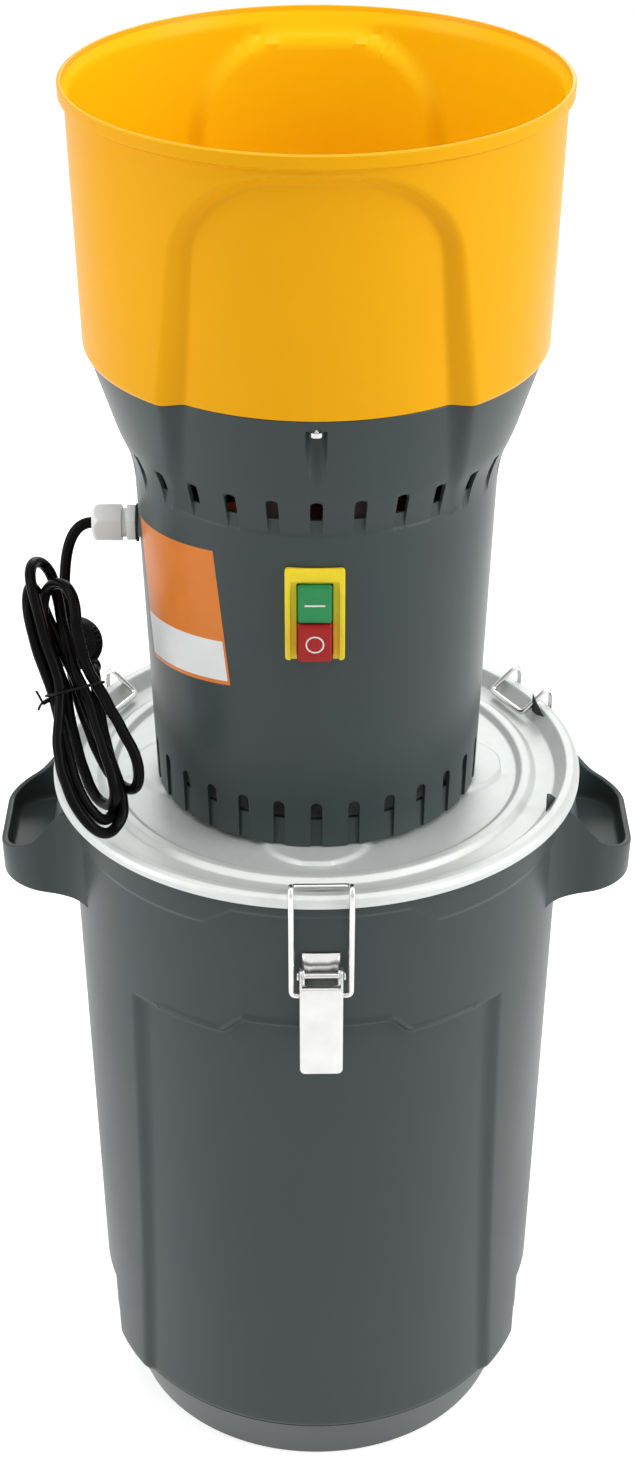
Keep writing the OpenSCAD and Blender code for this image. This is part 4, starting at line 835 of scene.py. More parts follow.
def handle_section(edge):
    """Closed section of the handle through one point of its outside, as (plan point, height)."""
    origin = Vector((section_from, 0.0))
    ray = (edge - origin).normalized()
    far = (edge - origin).length
    tip = lip_z(edge.x)
    low = under_z(edge.x)
    wall_in = circle_hit(origin, ray, inside_wall_r)
    thick = handle_t * ease((far - wall_in) / 0.012)
    inner = far - thick
    foot_in = inner - 0.0012
    cone_top = min(circle_hit(origin, ray, pocket_top_r), inner)
    cone_low = min(circle_hit(origin, ray, pocket_low_r), foot_in)
    pocket = ease((foot_in - cone_low) / 0.004)
    floor_z = tip + (pocket_floor - tip) * pocket
    grip_in = min(circle_hit(origin, ray, grip_from_r), foot_in)
    grip = ease((foot_in - grip_in) / 0.004)
    roof_z = low + (grip_roof - low) * grip
    cone_tip = min(lip_z((origin + ray * cone_top).x), handle_high)
    top = min(tip, handle_high)
    corners = [
        (wall_in, min(cone_tip + 0.004, 0.5435)), (cone_top, cone_tip), (cone_low, floor_z),
        (foot_in, floor_z), (inner, top),
        (max(far - 0.0017, inner), top), (max(far - 0.0016, inner), top - 0.0007),
        (far, top - 0.0007), (far - 0.0006, low), (inner + 0.0004, low),
        (foot_in, roof_z), (grip_in, roof_z), (grip_in, low), (wall_in, low - 0.001),
    ]
    radii = [0, 0.0022, 0.004, 0.005, 0.0012, 0.0003, 0.0002, 0.0012, 0.0016, 0.0012, 0.003, 0.003, 0.001, 0]
    return [(origin + ray * max(t, wall_in), z) for t, z in rounded(corners, radii, 3)]


def handle(name, side):
    """One handle, its sections swept round the plan; side is 1 for the right and -1 for the left."""
    sections = [handle_section(edge) for edge in handle_plan()]
    rows, count = len(sections), len(sections[0])
    points = [(side * p.x, side * p.y, z) for section in sections for p, z in section]
    faces = ring_faces(rows, count)
    faces.append(tuple(range(count)))
    faces.append(tuple((rows - 1) * count + k for k in range(count))[::-1])
    return crisp(plain_mesh(name, points, faces), 40)


slate_skin = moulded("slate_plastic", slate, 0.37, tint=0.05, cloud=5.0, grain=1100, depth=0.00004)
handles = [handle("handle_right", 1), handle("handle_left", -1)]
for piece in [drum_shell] + handles:
    put_on(piece, slate_skin)
    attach(piece, "stand")
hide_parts("drum")

# ------------------------------------------------------------------ lid
# The lid is pressed from galvanised sheet 1.2 mm thick: a rolled rim bead over
# the gasket, a stiffening ring and four round pads that carry the housing.
lid_zero = 0.5482
ring_high = 0.0036
sheet_t = 0.0012
pad_out, pad_r, pad_high, pad_flank = 0.096, 0.0398, 0.0025, 0.0032
lid_r = 0.1900
feed_hole_r = 0.0203
feed_y = 0.088
galvanised = (0.665, 0.695, 0.68)


def lid_line(drop):
    """Upper line of the lid's section, or its lower line for drop 1."""
    d = drop * sheet_t
    return [
        (0.134, lid_zero - d), (0.1445 + 0.3 * d, lid_zero - d), (0.1485 + 0.3 * d, lid_zero + ring_high - d),
        (0.1545 - 0.3 * d, lid_zero + ring_high - d), (0.1585 - 0.3 * d, lid_zero - d),
        (0.1725 + 0.7 * d, lid_zero - d), (0.1790 + 0.5 * d, 0.5564 - d), (0.1805 + 0.3 * d, 0.5580 - d),
        (0.1855 - 0.3 * d, 0.5580 - d),
        (0.1887 - 0.85 * d, 0.5562 - 0.6 * d), (lid_r - d, 0.5534 - 0.2 * d), (lid_r - d, 0.5497),
    ]


bend = [0, 0.003, 0.0035, 0.0035, 0.003, 0.003, 0.002, 0.002, 0.003, 0.0025, 0.003, 0]
upper = rounded(lid_line(0), bend, 5)
lower = rounded(lid_line(1), bend, 5)
lid_circle = circle(288)


def pad_lift(x, y):
    """How far the four round pads lift the sheet at a point."""
    spots = ((pad_out, 0), (-pad_out, 0), (0, pad_out), (0, -pad_out))
    return max(pad_high * ease((pad_r - hypot(x - px, y - py)) / pad_flank) for px, py in spots)


inner_rs = [0.0205] + spread(0.024, 0.054, 0.006) + spread(0.054, 0.060, 0.0012)
inner_rs += spread(0.060, 0.134, 0.0016)


def padded_ring(r, level):
    """A ring of the lid's flat middle, lifted where it crosses the pads."""
    return [(r * c, r * v, level + pad_lift(r * c, r * v)) for c, v in lid_circle]


rings = [padded_ring(r, lid_zero) for r in inner_rs]
rings += [[(r * c, r * v, z) for c, v in lid_circle] for r, z in upper + lower[::-1]]
rings += [padded_ring(r, lid_zero - sheet_t) for r in reversed(inner_rs)]
lid_plate = ring_skin("lid_plate", rings, close_ends=False)


def cut_away(obj, cutter):
    """The piece less the cutter, as a plain mesh."""
    change = obj.modifiers.new("cut", "BOOLEAN")
    change.operation, change.solver, change.object = "DIFFERENCE", "EXACT", cutter
    depsgraph = bpy.context.evaluated_depsgraph_get()
    made = bpy.data.meshes.new_from_object(obj.evaluated_get(depsgraph))
    obj.modifiers.remove(change)
    old, obj.data = obj.data, made
    made.name = obj.name
    bpy.data.meshes.remove(old)
    bpy.data.objects.remove(cutter, do_unlink=True)
    return obj


def turned(name, line, middle=(0, 0), count=96, closed=True):
    """A turned solid from its (radius, height) line; a line that ends on the axis closes there."""
    rings = [[(middle[0] + r * c, middle[1] + r * v, z) for c, v in circle(count)] for r, z in line]
    return ring_skin(name, rings, close_ends=closed)


feed_cut = turned("feed_cut", [(feed_hole_r, 0.53), (feed_hole_r, 0.57)], (0, feed_y), 64)
crisp(cut_away(lid_plate, feed_cut))


def sheet_metal(name, colour, roughness, metallic):
    """Galvanised sheet: a soft spangle in its tint, cloudy gloss and faint dents, in object coordinates."""
    made = finish_material(name, colour, roughness, 0.5, metallic)
    nodes, links = made.node_tree.nodes, made.node_tree.links
    place = nodes.new("ShaderNodeTexCoord")
    spangle = nodes.new("ShaderNodeTexVoronoi")
    spangle.feature = "SMOOTH_F1"
    spangle.inputs["Scale"].default_value = 130
    spangle.inputs["Smoothness"].default_value = 0.6
    haze = noise(nodes, 11, 5)
    blend = nodes.new("ShaderNodeMix")
    blend.data_type = "FLOAT"
    blend.inputs[0].default_value = 0.22
    for texture in (spangle, haze):
        links.new(place.outputs["Object"], texture.inputs["Vector"])
    links.new(haze.outputs["Fac"], blend.inputs[2])
    links.new(spangle.outputs["Distance"], blend.inputs[3])
    uneven = (roughness - 0.06, roughness + 0.1)
    return surface(
        made, colour, shades=(0.94, 1.05), stops=(0.3, 0.72), tint_by=blend.outputs[0],
        gloss_by=haze.outputs["Fac"], gloss_from=(0, 1), gloss_to=uneven,
        bump_by=haze.outputs["Fac"], depth=0.00012, strength=0.35,
    )


lid_skin = sheet_metal("galvanised_sheet", galvanised, 0.48, 0.42)
put_on(lid_plate, lid_skin)
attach(lid_plate, "stand")
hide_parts("lid")

# ------------------------------------------------------------------ motor housing
# A one-piece moulded shell of the same slate plastic stands on the lid and
# flares out to the hopper's seam. Twenty-eight slots run round it twice, a
# switch window and a gland hole go through it, a scoop sinks each hopper screw.
house_low = 0.551
house_top = 0.876
house_t = 0.003
neck_low_r, neck_top_r, neck_top = 0.1148, 0.1223, 0.780
slot_count = 28
slot_width = 0.008
upper_slot_top, upper_slot_tall = 0.816, 0.015
lower_slot_top, lower_slot_tall = 0.587, 0.050
# Each upper slot runs out below in a shallow flute.
flute_low, flute_top, flute_deep = 0.7875, 0.8165, 0.0022
house_slate = (0.042, 0.058, 0.056)
scoop_y = 0.1379
scoop_r = 0.00685
scoop_low, scoop_top = 0.812, 0.869
scoop_t = 0.0018
gland_z = 0.7418
gland_hole_r = 0.0101
arch_lean = tan(radians(3.5))
recess_line = ((0.1244, 0.797), (0.1413, 0.877))
recess_zone, recess_half_w, recess_flank = 0.790, 0.084, 1.55


def neck_r(z):
    """Outside radius of the housing's straight neck."""
    return neck_low_r + (neck_top_r - neck_low_r) * (z - house_low) / (neck_top - house_low)


flare_line = [
    (neck_low_r, house_low), (neck_top_r, neck_top), (0.1233, 0.792), (0.1250, 0.800), (0.1267, 0.807),
    (0.1334, 0.822), (0.1508, house_top),
]
flare_opens, flare_ease = 0.322, 0.005


def flare_r(z):
    """Radius of the housing outside its recesses, its bends eased."""
    def plain(v):
        for (r0, z0), (r1, z1) in zip(flare_line, flare_line[1:]):
            if v <= z1:
                return r0 + (r1 - r0) * (v - z0) / (z1 - z0)
        return flare_line[-1][0] + (v - house_top) * flare_opens
    return (plain(z - flare_ease) + plain(z) * 2 + plain(z + flare_ease)) / 4


def house_r(turn, z):
    """Outside radius of the housing: its flare, the arches' recesses and the slots' flutes."""
    a = off_front(turn)
    r = flare_r(z)
    if z > recess_zone:
        (low_r, low_z), (high_r, high_z) = recess_line
        floor_r = low_r + (high_r - low_r) * (z - low_z) / (high_z - low_z)
        half_w = recess_half_w - arch_lean * (z - house_top)
        sunk = soft_max(floor_r, floor_r + (floor_r * sin(a) - half_w) * recess_flank, 0.006)
        r = soft_min(r, sunk, 0.004)
    if flute_low - 0.002 < z < flute_top:
        step = 2 * pi / slot_count
        d = abs((turn + step / 2) % step - step / 2) * r
        sink = flute_deep * ease((z - flute_low) / 0.014) * ease((slot_width / 2 - d) / 0.0008)
        r -= sink * ease((flute_top - z) / 0.004)
    return r


# Columns of points: close together at each slot's edges, at the scoops and at the arches.
half_slot = degrees(slot_width / 2 / 0.121)
slot_edge = (0.35, -0.02, -0.38, -0.75)
slot_columns = [-half_slot - d for d in slot_edge] + [0] + [half_slot + d for d in slot_edge[::-1]]
between = 360 / slot_count - 2 * (half_slot + slot_edge[0])
slot_columns += [half_slot + slot_edge[0] + between * k / 8 for k in range(1, 8)]
house_turns = [360 * i / slot_count + d for i in range(slot_count) for d in slot_columns]
for side in (0, 180):
    for d in [0.6, 1.5, 2.4, 3.0, 3.4, 3.62, 3.9, 4.3] + spread(35.5, 41.5, 0.5):
        house_turns += [side + d, side - d]
house_turns = sorted({round(t % 360, 3) for t in house_turns})
house_turns = [radians(t) for i, t in enumerate(house_turns) if i == 0 or t - house_turns[i - 1] > 0.06]
house_zs = [0.5512, 0.5518] + spread(0.556, 0.596, 0.006) + spread(0.596, 0.780, 0.016)
house_zs += spread(0.780, 0.830, 0.0016) + spread(0.830, 0.864, 0.0042) + spread(0.864, 0.8752, 0.0014)
rings = []
for z in house_zs + [0.8752, house_top]:
    tuck = 0.0006 if z in (0.5512, house_top) else 0
    rings.append([at(t, house_r(t, z) - tuck, z) for t in house_turns])


def house_in_r(turn, z):
    """Inside radius of the housing, pushed in behind each screw scoop."""
    plain = min(house_r(turn, z), flare_r(z)) - house_t
    beside = scoop_y * sin(off_front(turn))
    if scoop_low <= z <= scoop_top + 0.001 and beside < scoop_r + scoop_t:
        return min(plain, scoop_y - scoop_r - scoop_t)
    return plain


house_in_zs = [house_top, 0.8701, 0.8700, 0.8600, 0.8400, 0.8300, 0.8240, 0.8180, scoop_low]
house_in_zs += [0.8040, 0.7960, 0.7880, 0.7700, 0.6500, 0.5512]
rings += [[at(t, house_in_r(t, z), z) for t in house_turns] for z in house_in_zs]
house_shell = ring_skin("house_shell", rings, close_ends=False)


def through_cut(name, ends):
    """A cutter between two like outlines."""
    n = len(ends[0])
    faces = [tuple(range(n)), tuple(range(n, 2 * n))[::-1]] + ring_faces(2, n)
    return plain_mesh(name, ends[0] + ends[1], faces, smooth=False)


def slot_tool(name, turns_of, tall, top, wide, reach):
    """Round-topped cutters set evenly round the axis by a Geometry Nodes tree."""
    half, low, chamfer = wide / 2, top - tall, 0.0008
    outline = [(half * c, top - half + half * v) for c, v in circle(20)[:11]]
    outline += [(-half, low + chamfer), (-half + chamfer, low), (half - chamfer, low), (half, low + chamfer)]
    one = through_cut(name + "_one", [[(x, y, z) for x, z in outline] for y in (-reach, -reach - 0.05)])
    host = plain_mesh(name, [(0, 0, 0), (0.001, 0, 0), (0, 0.001, 0)], [(0, 1, 2)])
    tree = bpy.data.node_groups.new(name + "_round", "GeometryNodeTree")
    for label, kind in (("Count", "Int"), ("Shape", "Object"), ("Finish", "Material")):
        tree.interface.new_socket(label, in_out="INPUT", socket_type="NodeSocket" + kind)
    tree.interface.new_socket("Geometry", in_out="OUTPUT", socket_type="NodeSocketGeometry")
    nodes, links = tree.nodes, tree.links
    enter, leave = nodes.new("NodeGroupInput"), nodes.new("NodeGroupOutput")
    dots = nodes.new("GeometryNodePoints")
    shape = nodes.new("GeometryNodeObjectInfo")
    place = nodes.new("GeometryNodeInstanceOnPoints")
    index = nodes.new("GeometryNodeInputIndex")
    share, whole = nodes.new("ShaderNodeMath"), nodes.new("ShaderNodeMath")
    share.operation, whole.operation = "DIVIDE", "MULTIPLY"
    whole.inputs[1].default_value = 2 * pi
    spin = nodes.new("ShaderNodeCombineXYZ")
    real = nodes.new("GeometryNodeRealizeInstances")
    paint = nodes.new("GeometryNodeSetMaterial")
    for start, stop in (
        (enter.outputs["Count"], dots.inputs["Count"]),
        (enter.outputs["Shape"], shape.inputs["Object"]),
        (dots.outputs[0], place.inputs["Points"]),
        (shape.outputs["Geometry"], place.inputs["Instance"]),
        (index.outputs[0], share.inputs[0]),
        (enter.outputs["Count"], share.inputs[1]),
        (share.outputs[0], whole.inputs[0]),
        (whole.outputs[0], spin.inputs["Z"]),
        (spin.outputs[0], place.inputs["Rotation"]),
        (place.outputs[0], real.inputs[0]),
        (real.outputs[0], paint.inputs["Geometry"]),
        (enter.outputs["Finish"], paint.inputs["Material"]),
        (paint.outputs[0], leave.inputs[0]),
    ):
        links.new(start, stop)
    run = host.modifiers.new("round", "NODES")
    run.node_group = tree
    for item in tree.interface.items_tree:
        if item.in_out == "INPUT":
            run[item.identifier] = {"Count": turns_of, "Shape": one, "Finish": slate_skin}[item.name]
    made = bpy.data.meshes.new_from_object(host.evaluated_get(bpy.context.evaluated_depsgraph_get()))
    host.modifiers.remove(run)
    old, host.data = host.data, made
    bpy.data.meshes.remove(old)
    bpy.data.objects.remove(one, do_unlink=True)
    return host


for name, tall, top, reach in (
    ("upper_slots", upper_slot_tall, upper_slot_top, 0.112),
    ("lower_slots", lower_slot_tall, lower_slot_top, 0.105),
):
    cut_away(house_shell, slot_tool(name, slot_count, tall, top, slot_width, reach))
window = [(-0.0163, 0.7032), (-0.0163, 0.7618), (0.0143, 0.7618), (0.0143, 0.7032)]
cut_away(house_shell, through_cut("switch_window", [[(x, y, z) for x, z in window] for y in (-0.15, -0.09)]))
for side in (-1, 1):
    scoop_line = [(scoop_r, scoop_low), (scoop_r, scoop_top)]
    cut_away(house_shell, turned("screw_scoop", scoop_line, (0, side * scoop_y), 40))
hole = [(gland_hole_r * c, gland_z + gland_hole_r * v) for c, v in circle(48)]
gland_hole = through_cut("gland_hole", [[(x, y, z) for y, z in hole] for x in (-0.09, -0.15)])
crisp(cut_away(house_shell, gland_hole), 30)
skirt_line = [(0.1131, 0.5512), (0.1131, 0.5722), (0.1101, 0.5722), (0.1101, 0.5512)]
inner_skirt = crisp(turned("inner_skirt", skirt_line, count=160, closed=False))
house_skin = moulded("housing_plastic", house_slate, 0.35, tint=0.05, cloud=6.0, grain=1100, depth=0.00004)
for piece in (house_shell, inner_skirt):
    put_on(piece, house_skin)
    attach(piece, "stand")
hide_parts("motor_housing")

# ------------------------------------------------------------------ hopper
# The grain hopper is moulded in satin yellow-orange plastic: a banded rim, an
# arched recess front and back, and a sloping floor down to the feed opening.
hop_low = 0.8763
hop_top = 1.0470
hop_low_r, hop_top_r = 0.1535, 0.1576
hop_t = 0.003
foot_round, foot_tuck = 0.0034, 0.0027
rim_step, rim_run = 0.0105, 0.0028
rim_out = 0.161
band_foot = 1.036
seam_z = 0.8793
arch_ends = radians(60)
arch_half_w = 0.0825
arch_top = 1.0275
arch_corner = 0.052
arch_flank = 1.5
arch_foot_r = 0.1407
arch_deep_z, arch_deep = 1.022, 0.008
amber = (0.93, 0.435, 0.003)
# Painted light: a lighter, yellower copy of the amber for the hopper's inside, standing in for light that
# comes through the plastic.
amber_painted_glow = (0.98, 0.585, 0.004)
feed_r = 0.016
feed_t = 0.0016
feed_low = 0.790
land_y = 0.062
land_r = 0.050
land_top = 0.812
floor_slope = tan(radians(33))
floor_drop = 0.0036
skirt_low, skirt_top = 0.809, 0.8778
skirt_low_r, skirt_top_r = 0.1178, 0.1367
skirt_r = 0.1337
skirt_steep = 3.64
under_r, under_y = 0.036, 0.076


def hop_r(z):
    """Outside radius of the hopper's plain wall."""
    return hop_low_r + (hop_top_r - hop_low_r) * (z - hop_low) / (hop_top - hop_low)


def hopper_out(turn, z):
    """Outside radius of the hopper: its rounded foot, its banded rim and the arched recesses."""
    a = off_front(turn)
    plain = hop_r(z)
    if z < hop_low + foot_round:
        plain -= foot_tuck * (1 - ease((z - hop_low + foot_round) / (2 * foot_round)))
    step = hop_top - rim_step
    plain += (rim_out - hop_r(step)) * ease((z - step) / rim_run)
    if a > arch_ends or z > band_foot:
        return plain
    arch_lean_out = hop_r(arch_deep_z) - arch_deep - arch_foot_r
    floor_r = arch_foot_r + arch_lean_out * (z - hop_low) / (arch_deep_z - hop_low)
    half_w = arch_half_w - arch_lean * (z - house_top)
    x = floor_r * sin(a)
    out = max(x - half_w, z - arch_top)
    if x > half_w - arch_corner and z > arch_top - arch_corner:
        out = hypot(x - half_w + arch_corner, z - arch_top + arch_corner) - arch_corner
    sunk = soft_max(floor_r, floor_r + out * arch_flank, 0.0032)
    return soft_min(plain, sunk, 0.0028)


hop_turns = fine_turns(both_sides(14, 42), 0.62, 1.1)


def funnel_z(x, y):
    """Height of the sloping floor, which runs down to the level land round the feed opening."""
    return land_top + max(hypot(x, y - land_y) - land_r, 0) * floor_slope


def skirt_in(z):
    """Inside radius of the skirt that stands in the housing's flare."""
    return skirt_low_r + (skirt_top_r - skirt_low_r) * (z - skirt_low) / (skirt_top - skirt_low)


def inside_r(turn, z):
    """Inside radius of the hopper above and below the housing's seam."""
    return hopper_out(turn, z) - hop_t if z > seam_z else min(skirt_in(z) - hop_t, skirt_r)


def round_spot(turn, r, y):
    """Plan point on a circle set back from the axis."""
    return Vector((r * sin(turn), y - r * cos(turn)))


def plan_ring(spots, heights):
    """A ring from plan points and their heights."""
    return [(p.x, p.y, z) for p, z in zip(spots, heights)]


hop_zs = [hop_low, hop_low + 0.0008, hop_low + 0.0016, hop_low + 0.0026, hop_low + 0.0036]
hop_zs += spread(0.8815, 0.972, 0.006) + spread(0.972, 1.032, 0.0017) + spread(1.032, 1.0398, 0.0008)
rings = [[at(t, hopper_out(t, z), z) for t in hop_turns] for z in hop_zs + [1.0398, 1.0425, 1.0455, 1.0464]]
for r, z in ((0.1605, hop_top), (0.1588, hop_top), (0.1582, 1.0462), (0.1580, 1.0440)):
    rings.append(turned_ring(r, z, hop_turns))
# Where the wall meets the sloping floor, found by going down the wall.
foot_ring = []
down_step = 0.0005
for t in hop_turns:
    z = hop_top
    while z > land_top:
        z -= down_step
        r = inside_r(t, z)
        if funnel_z(r * sin(t), -r * cos(t)) >= z:
            break
    foot_ring.append(z)
inner_steps = 46
inner_top, arch_end = 1.0400, 1.030
for i in range(inner_steps + 1):
    ring = []
    for t, foot in zip(hop_turns, foot_ring):
        z = inner_top + (foot - inner_top) * (i / inner_steps)
        r = inside_r(t, z)
        if z > arch_end:
            r = min(r, hop_r(arch_end) - hop_t + (0.0008 if z > band_foot else 0))
        ring.append(at(t, r, z))
    rings.append(ring)
wall_foot = [Vector(p[:2]) for p in rings[-1]]
land_edge = [round_spot(t, land_r, land_y) for t in hop_turns]
feed_edge = [round_spot(t, feed_r, feed_y) for t in hop_turns]
for s in (0.03, 0.10, 0.22, 0.38, 0.55, 0.72, 0.86, 0.96, 1.0):
    spots = [p.lerp(q, s) for p, q in zip(wall_foot, land_edge)]
    rings.append(plan_ring(spots, [funnel_z(q.x, q.y) for q in spots]))
for s in (0.35, 0.7, 1.0):
    spots = [p.lerp(q, s) for p, q in zip(land_edge, feed_edge)]
    rings.append(plan_ring(spots, [land_top] * len(spots)))
for r, z in ((feed_r, feed_low), (feed_r + feed_t, feed_low), (feed_r + feed_t, skirt_low)):
    rings.append(plan_ring([round_spot(t, r, feed_y) for t in hop_turns], [z] * len(hop_turns)))
under_edge = [round_spot(t, skirt_r, 0) for t in hop_turns]
under_land = [round_spot(t, under_r, under_y) for t in hop_turns]
for s in (1.0, 0.8, 0.6, 0.4, 0.2, 0.08, 0.0):
    spots = [p.lerp(q, s) for p, q in zip(under_edge, under_land)]
    lows = [hop_low - max(skirt_r - q.length, 0) * skirt_steep for q in spots]
    heights = [max(funnel_z(q.x, q.y) - floor_drop, z, skirt_low) for q, z in zip(spots, lows)]
    rings.append(plan_ring(spots, heights))
rings.append(turned_ring(0.1340, hop_low, hop_turns))
hopper_bowl = crisp(ring_skin("hopper_bowl", rings, close_ends=False), 40)
# The plastic lets light through, so the inside looks lighter and yellower than the outside. That light is
# painted: the inward and upward faces get a lighter, yellower copy of the plastic.
for name, colour in (("hopper_plastic", amber), ("hopper_plastic_within", amber_painted_glow)):
    made = moulded(name, colour, 0.34, 0.1, tint=0.03, cloud=5.0, grain=1300, depth=0.00003)
    hopper_bowl.data.materials.append(made)
for face in hopper_bowl.data.polygons:
    gets_painted_glow = face.normal.x * face.center.x + face.normal.y * face.center.y < 0 or face.normal.z > 0.5
    face.material_index = int(gets_painted_glow and hop_low < face.center.z < 1.045)
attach(hopper_bowl, "stand")
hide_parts("hopper")

# ------------------------------------------------------------------ feed gate and screws
# A zinc-plated disc turns under the hopper's floor on one screw and opens the
# feed hole. The hopper is held by a screw in the scoop front and back.
zinc_skin = plated("zinc_plate", (0.60, 0.61, 0.60), 0.30)


def dress(made, *nodes):
    """Gives solids that show as they are their material."""
    for name in nodes:
        put_on(frame["nodes"][name], made)


def softened(name, node, width, made, segments=2, angle=32):
    """A copy of a solid with its edges rounded over, riding where the solid rides."""
    source = frame["nodes"][node]
    piece = bpy.data.objects.new(name, bpy.data.meshes.new(name))
    scene.collection.objects.link(piece)
    shell = bmesh.new()
    shell.from_mesh(source.data)
    bmesh.ops.remove_doubles(shell, verts=shell.verts, dist=2e-6)
    bmesh.ops.dissolve_limit(shell, angle_limit=radians(1.5), verts=shell.verts, edges=shell.edges)
    bmesh.ops.recalc_face_normals(shell, faces=shell.faces)
    shell.to_mesh(piece.data)
    shell.free()
    for face in piece.data.polygons:
        face.use_smooth = True
    edge = piece.modifiers.new("edge", "BEVEL")
    edge.width = width
    edge.segments = segments
    edge.limit_method = "ANGLE"
    edge.angle_limit = radians(angle)
    edge.use_clamp_overlap = True
    mesh = bpy.data.meshes.new_from_object(piece.evaluated_get(bpy.context.evaluated_depsgraph_get()))
    piece.modifiers.remove(edge)
    old, piece.data = piece.data, mesh
    bpy.data.meshes.remove(old)
    crisp(piece, 35)
    put_on(piece, made)
    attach(piece, source["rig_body"])
    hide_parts(node)


gate_skin = sheet_metal("gate_sheet", galvanised, 0.4, 0.8)
softened("feed_gate_disc", "feed_gate", 0.0003, gate_skin)
dress(zinc_skin, "gate_screw", "hopper_screws", "housing_screws", "chamber_bolts")
dress(zinc_skin, "hub_nut", "capacitor_clip")

# ------------------------------------------------------------------ rubber seal
# A soft black ring of closed-cell rubber is pressed into the lid's rim and
# lies on the drum's flange.
rubber = (0.018, 0.018, 0.018)
seal_skin = moulded("seal_rubber", rubber, 0.75, 0.3, tint=0.2, cloud=30, grain=1800, depth=0.0001)
dress(seal_skin, "lid_gasket", "gland_seal", "gland_sleeve")

# ------------------------------------------------------------------ motor and mill
# Behind the slots stand an enamelled motor can on its cast base, the orange run
# capacitor and the feed tube. The beaters and their sieve hang under the lid.
motor_red = (0.19, 0.022, 0.014)
capacitor_orange = (0.85, 0.09, 0.012)
lacquer = (0.17, 0.05, 0.02)
fan_black = (0.022, 0.022, 0.024)
dress(moulded("motor_enamel", motor_red, 0.3, tint=0.1, grain=500, depth=0.00005), "motor_can")
dress(moulded("capacitor_can", capacitor_orange, 0.3, tint=0.05, grain=700, depth=0.00003), "capacitor")
dress(moulded("stator_lacquer", lacquer, 0.4, tint=0.3, cloud=120, grain=600, depth=0.0002), "stator")
dress(moulded("fan_plastic", fan_black, 0.5, grain=1200), "cooling_fan", "switch_body")
dress(plated("cast_alloy", (0.42, 0.42, 0.43), 0.55, scuff=0.1), "motor_base")
turned_skin = plated("turned_steel", (0.45, 0.45, 0.46), 0.3, streak=(1, 1, 12))
dress(turned_skin, "rotor_core", "motor_shaft", "upper_bearing", "lower_bearing", "beater_hub", "beaters")
dress(hopper_bowl.data.materials[0], "feed_tube")
dress(sheet_metal("sieve_sheet", (0.50, 0.51, 0.51), 0.38, 0.9), "sieve", "chamber_floor")

# ------------------------------------------------------------------ switch
# A push-button starter snaps into the window: a glossy yellow frame, a flush
# green button with a bar and a red one that stands out, marked with a ring.
yellow = (0.96, 0.74, 0.03)
green = (0.028, 0.268, 0.09)
red = (0.375, 0.015, 0.014)
mark_white = (0.80, 0.80, 0.78)
yellow_skin = moulded("plate_yellow", yellow, 0.3, tint=0.04, cloud=30, grain=1400, depth=0.00002)
green_skin = moulded("button_green", green, 0.34, tint=0.05, cloud=60, grain=1400, depth=0.00002)
red_skin = moulded("button_red", red, 0.34, tint=0.05, cloud=60, grain=1400, depth=0.00002)
mark_skin = moulded("mark_white", mark_white, 0.45, tint=0.04, cloud=200, grain=1500, depth=0.00001)
softened("switch_frame", "switch_plate", 0.0011, yellow_skin, segments=4)
softened("green_button", "on_button", 0.0008, green_skin, segments=3)
softened("red_button", "off_button", 0.0008, red_skin, segments=3)
switch_x = -0.001
mark_deep = 0.0004
mark_fill = 0.00035
mark_down = 0.013


def on_face(name, node, body, outline, hole=None):
    """A mark set into a button: an outline with an optional hole, filled almost flush."""
    low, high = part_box(node)
    deep = low.y + mark_deep
    middle = high.z - mark_down
    steps = [(outline, deep), (outline, deep - mark_fill)]
    if hole:
        steps += [(hole, deep - mark_fill), (hole, deep)]
    rings = [[(switch_x + x, y, middle + z) for x, z in line] for line, y in steps]
    mark = put_on(crisp(ring_skin(name, rings, close_ends=not hole)), mark_skin)
    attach(mark, body)


bar_half_w, bar_half_t = 0.0067, 0.0006
ring_out, ring_in = 0.0061, 0.0051
bar = [(x * bar_half_w, z * bar_half_t) for x, z in ((-1, -1), (1, -1), (1, 1), (-1, 1))]
on_face("on_bar", "on_button", "on_switch", bar)
outer, inner = [[(r * c, r * v) for c, v in circle(64)] for r in (ring_out, ring_in)]
on_face("off_ring", "off_button", "off_switch", outer, inner)

# ------------------------------------------------------------------ cable gland
# The lead leaves through a light grey nylon gland: a hexagon against the wall,
# a short threaded neck and a domed hexagon nut that clamps a rubber sleeve.
nylon = (0.93, 0.94, 0.91)
thread_x, thread_long, thread_r, thread_turns, thread_steps = -0.1300, 0.0030, 0.0095, 3, 72
nylon_skin = moulded("gland_nylon", nylon, 0.42, tint=0.03, cloud=40, depth=0.00003)
softened("gland_base", "gland_body", 0.0005, nylon_skin, segments=3)
softened("gland_dome_nut", "gland_nut", 0.0005, nylon_skin, segments=3, angle=20)
dress(nylon_skin, "gland_locknut")
thread_line = []
for k in range(thread_steps + 1):
    a = 2 * pi * thread_turns * k / thread_steps
    x = thread_x - thread_long * k / thread_steps
    thread_line.append((x, thread_r * sin(a), gland_z + thread_r * cos(a)))
gland_thread = put_on(wire_along("gland_thread", thread_line, 0.0005, 8), nylon_skin)
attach(gland_thread, "stand")

# ------------------------------------------------------------------ sticker
# A plain printed sticker with no words or signs is stuck round the housing's
# left front: an orange field with a white strip along its foot.
sticker_t = 0.00016
sticker_corners = ((-75.9, 0.761), (-33.4, 0.770), (-28.9, 0.672), (-69.6, 0.661))
sticker_orange = (0.74, 0.215, 0.03)
sticker_white = (0.80, 0.82, 0.82)


def sticker_spot(across, up):
    """Turn and height on the housing for a share across and up the sticker."""
    (a0, z0), (a1, z1), (a2, z2), (a3, z3) = sticker_corners
    low_turn, low_z = a3 + (a2 - a3) * across, z3 + (z2 - z3) * across
    top_turn, top_z = a0 + (a1 - a0) * across, z0 + (z1 - z0) * across
    return radians(low_turn + (top_turn - low_turn) * up), low_z + (top_z - low_z) * up


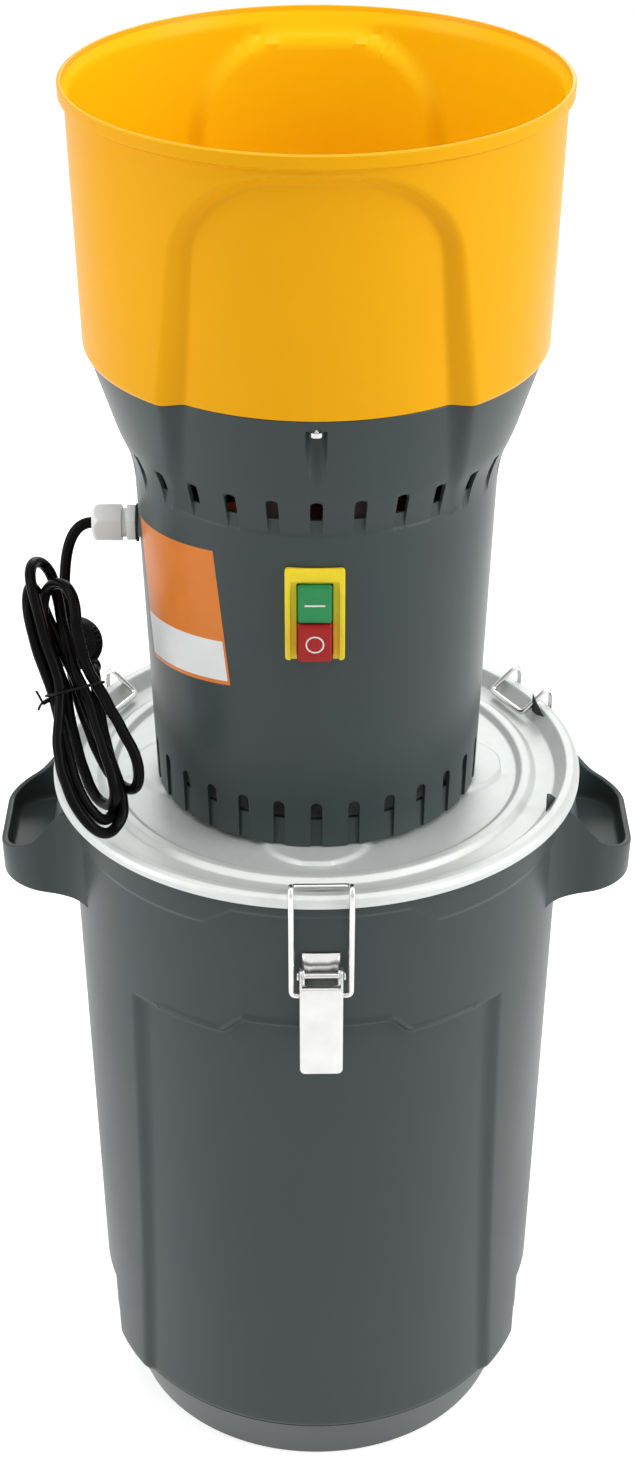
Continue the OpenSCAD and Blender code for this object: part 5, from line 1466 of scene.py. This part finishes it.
def sticker(name, right, low, high, lift, colour):
    """One printed field of the sticker, between shares of its width and height."""
    columns, rows = 40, 16
    points, faces = [], []
    for proud in (lift, lift + sticker_t):
        for j in range(rows + 1):
            for i in range(columns + 1):
                turn, z = sticker_spot(right * i / columns, low + (high - low) * j / rows)
                points.append(at(turn, neck_r(z) + proud, z))
    step, top = columns + 1, (columns + 1) * (rows + 1)
    for j in range(rows):
        for i in range(columns):
            a = j * step + i
            faces.append((a, a + step, a + step + 1, a + 1))
            faces.append((top + a, top + a + 1, top + a + step + 1, top + a + step))
    edge = list(range(columns)) + [columns + j * step for j in range(rows)]
    edge += [rows * step + columns - j for j in range(columns)] + [(rows - j) * step for j in range(rows)]
    for a, b in zip(edge, edge[1:] + edge[:1]):
        faces.append((a, b, top + b, top + a))
    field = crisp(plain_mesh(name, points, faces))
    put_on(field, moulded(name, colour, 0.35, tint=0.03, cloud=60, grain=600, depth=0.00002))
    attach(field, "stand")


sticker("sticker_orange", right=1.0, low=0.0, high=1.0, lift=0.00002, colour=sticker_orange)
sticker("sticker_white", right=0.98, low=0.03, high=0.33, lift=0.00010, colour=sticker_white)

# ------------------------------------------------------------------ latches
# Three toggle latches hold the lid: a pressed lever on a riveted bracket, both
# nickelled, and a wire bail of 4.2 mm that hooks over the lid's bead.
nickel_skin = plated("latch_nickel", (0.62, 0.62, 0.61), 0.20, streak=(1, 1, 8), scuff=0.06)
lever_skin = plated("lever_nickel", (0.70, 0.705, 0.69), 0.36, metallic=0.8, streak=(1, 1, 8), scuff=0.08)
wire_skin = plated("bail_nickel", (0.66, 0.66, 0.65), 0.12, scuff=0.05)
bail_side = [
    (0.1885, 0.4785), (0.1928, 0.5410), (0.1930, 0.5615),
    (0.1904, 0.5662), (0.1865, 0.5656), (0.1670, 0.5529),
]
leg_x = 0.0204
stub_x = 0.01265
bail_r = 0.0021
bail_bend = 0.0045
bend_steps = 6


def at_latch(turn, x, r, z):
    """Point beside a latch's own middle plane, x to the right of it as seen from outside."""
    return Vector(at(turn, r, z)) + Vector((cos(turn), sin(turn), 0)) * x


def bent(pts):
    """The bail's line with its corners bent round."""
    line = [pts[0]]
    for a, b, c in zip(pts, pts[1:], pts[2:]):
        back, on = a - b, c - b
        start = b + back.normalized() * min(bail_bend, back.length * 0.45)
        stop = b + on.normalized() * min(bail_bend, on.length * 0.45)
        for k in range(bend_steps + 1):
            t = k / bend_steps
            line.append(start * (1 - t) ** 2 + b * 2 * t * (1 - t) + stop * t * t)
    return line + [pts[-1]]


for letter, turn in zip("abc", latch_turns):
    side = [at_latch(turn, leg_x, r, z) for r, z in bail_side]
    other = [at_latch(turn, -leg_x, r, z) for r, z in reversed(bail_side)]
    eyes = [at_latch(turn, x, *bail_side[0]) for x in (stub_x, -stub_x)]
    bail_line = bent([eyes[0]] + side + other + [eyes[1]])
    bail = put_on(wire_along("latch_wire_" + letter, bail_line, bail_r, 16), wire_skin)
    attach(bail, "bail_" + letter)
    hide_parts("latch_bail_" + letter)
    softened("lever_" + letter, "latch_lever_" + letter, 0.0004, lever_skin, segments=3)
    softened("bracket_" + letter, "latch_bracket_" + letter, 0.0003, nickel_skin)
    softened("latch_rivet_" + letter, "latch_pin_" + letter, 0.0006, nickel_skin, segments=3)
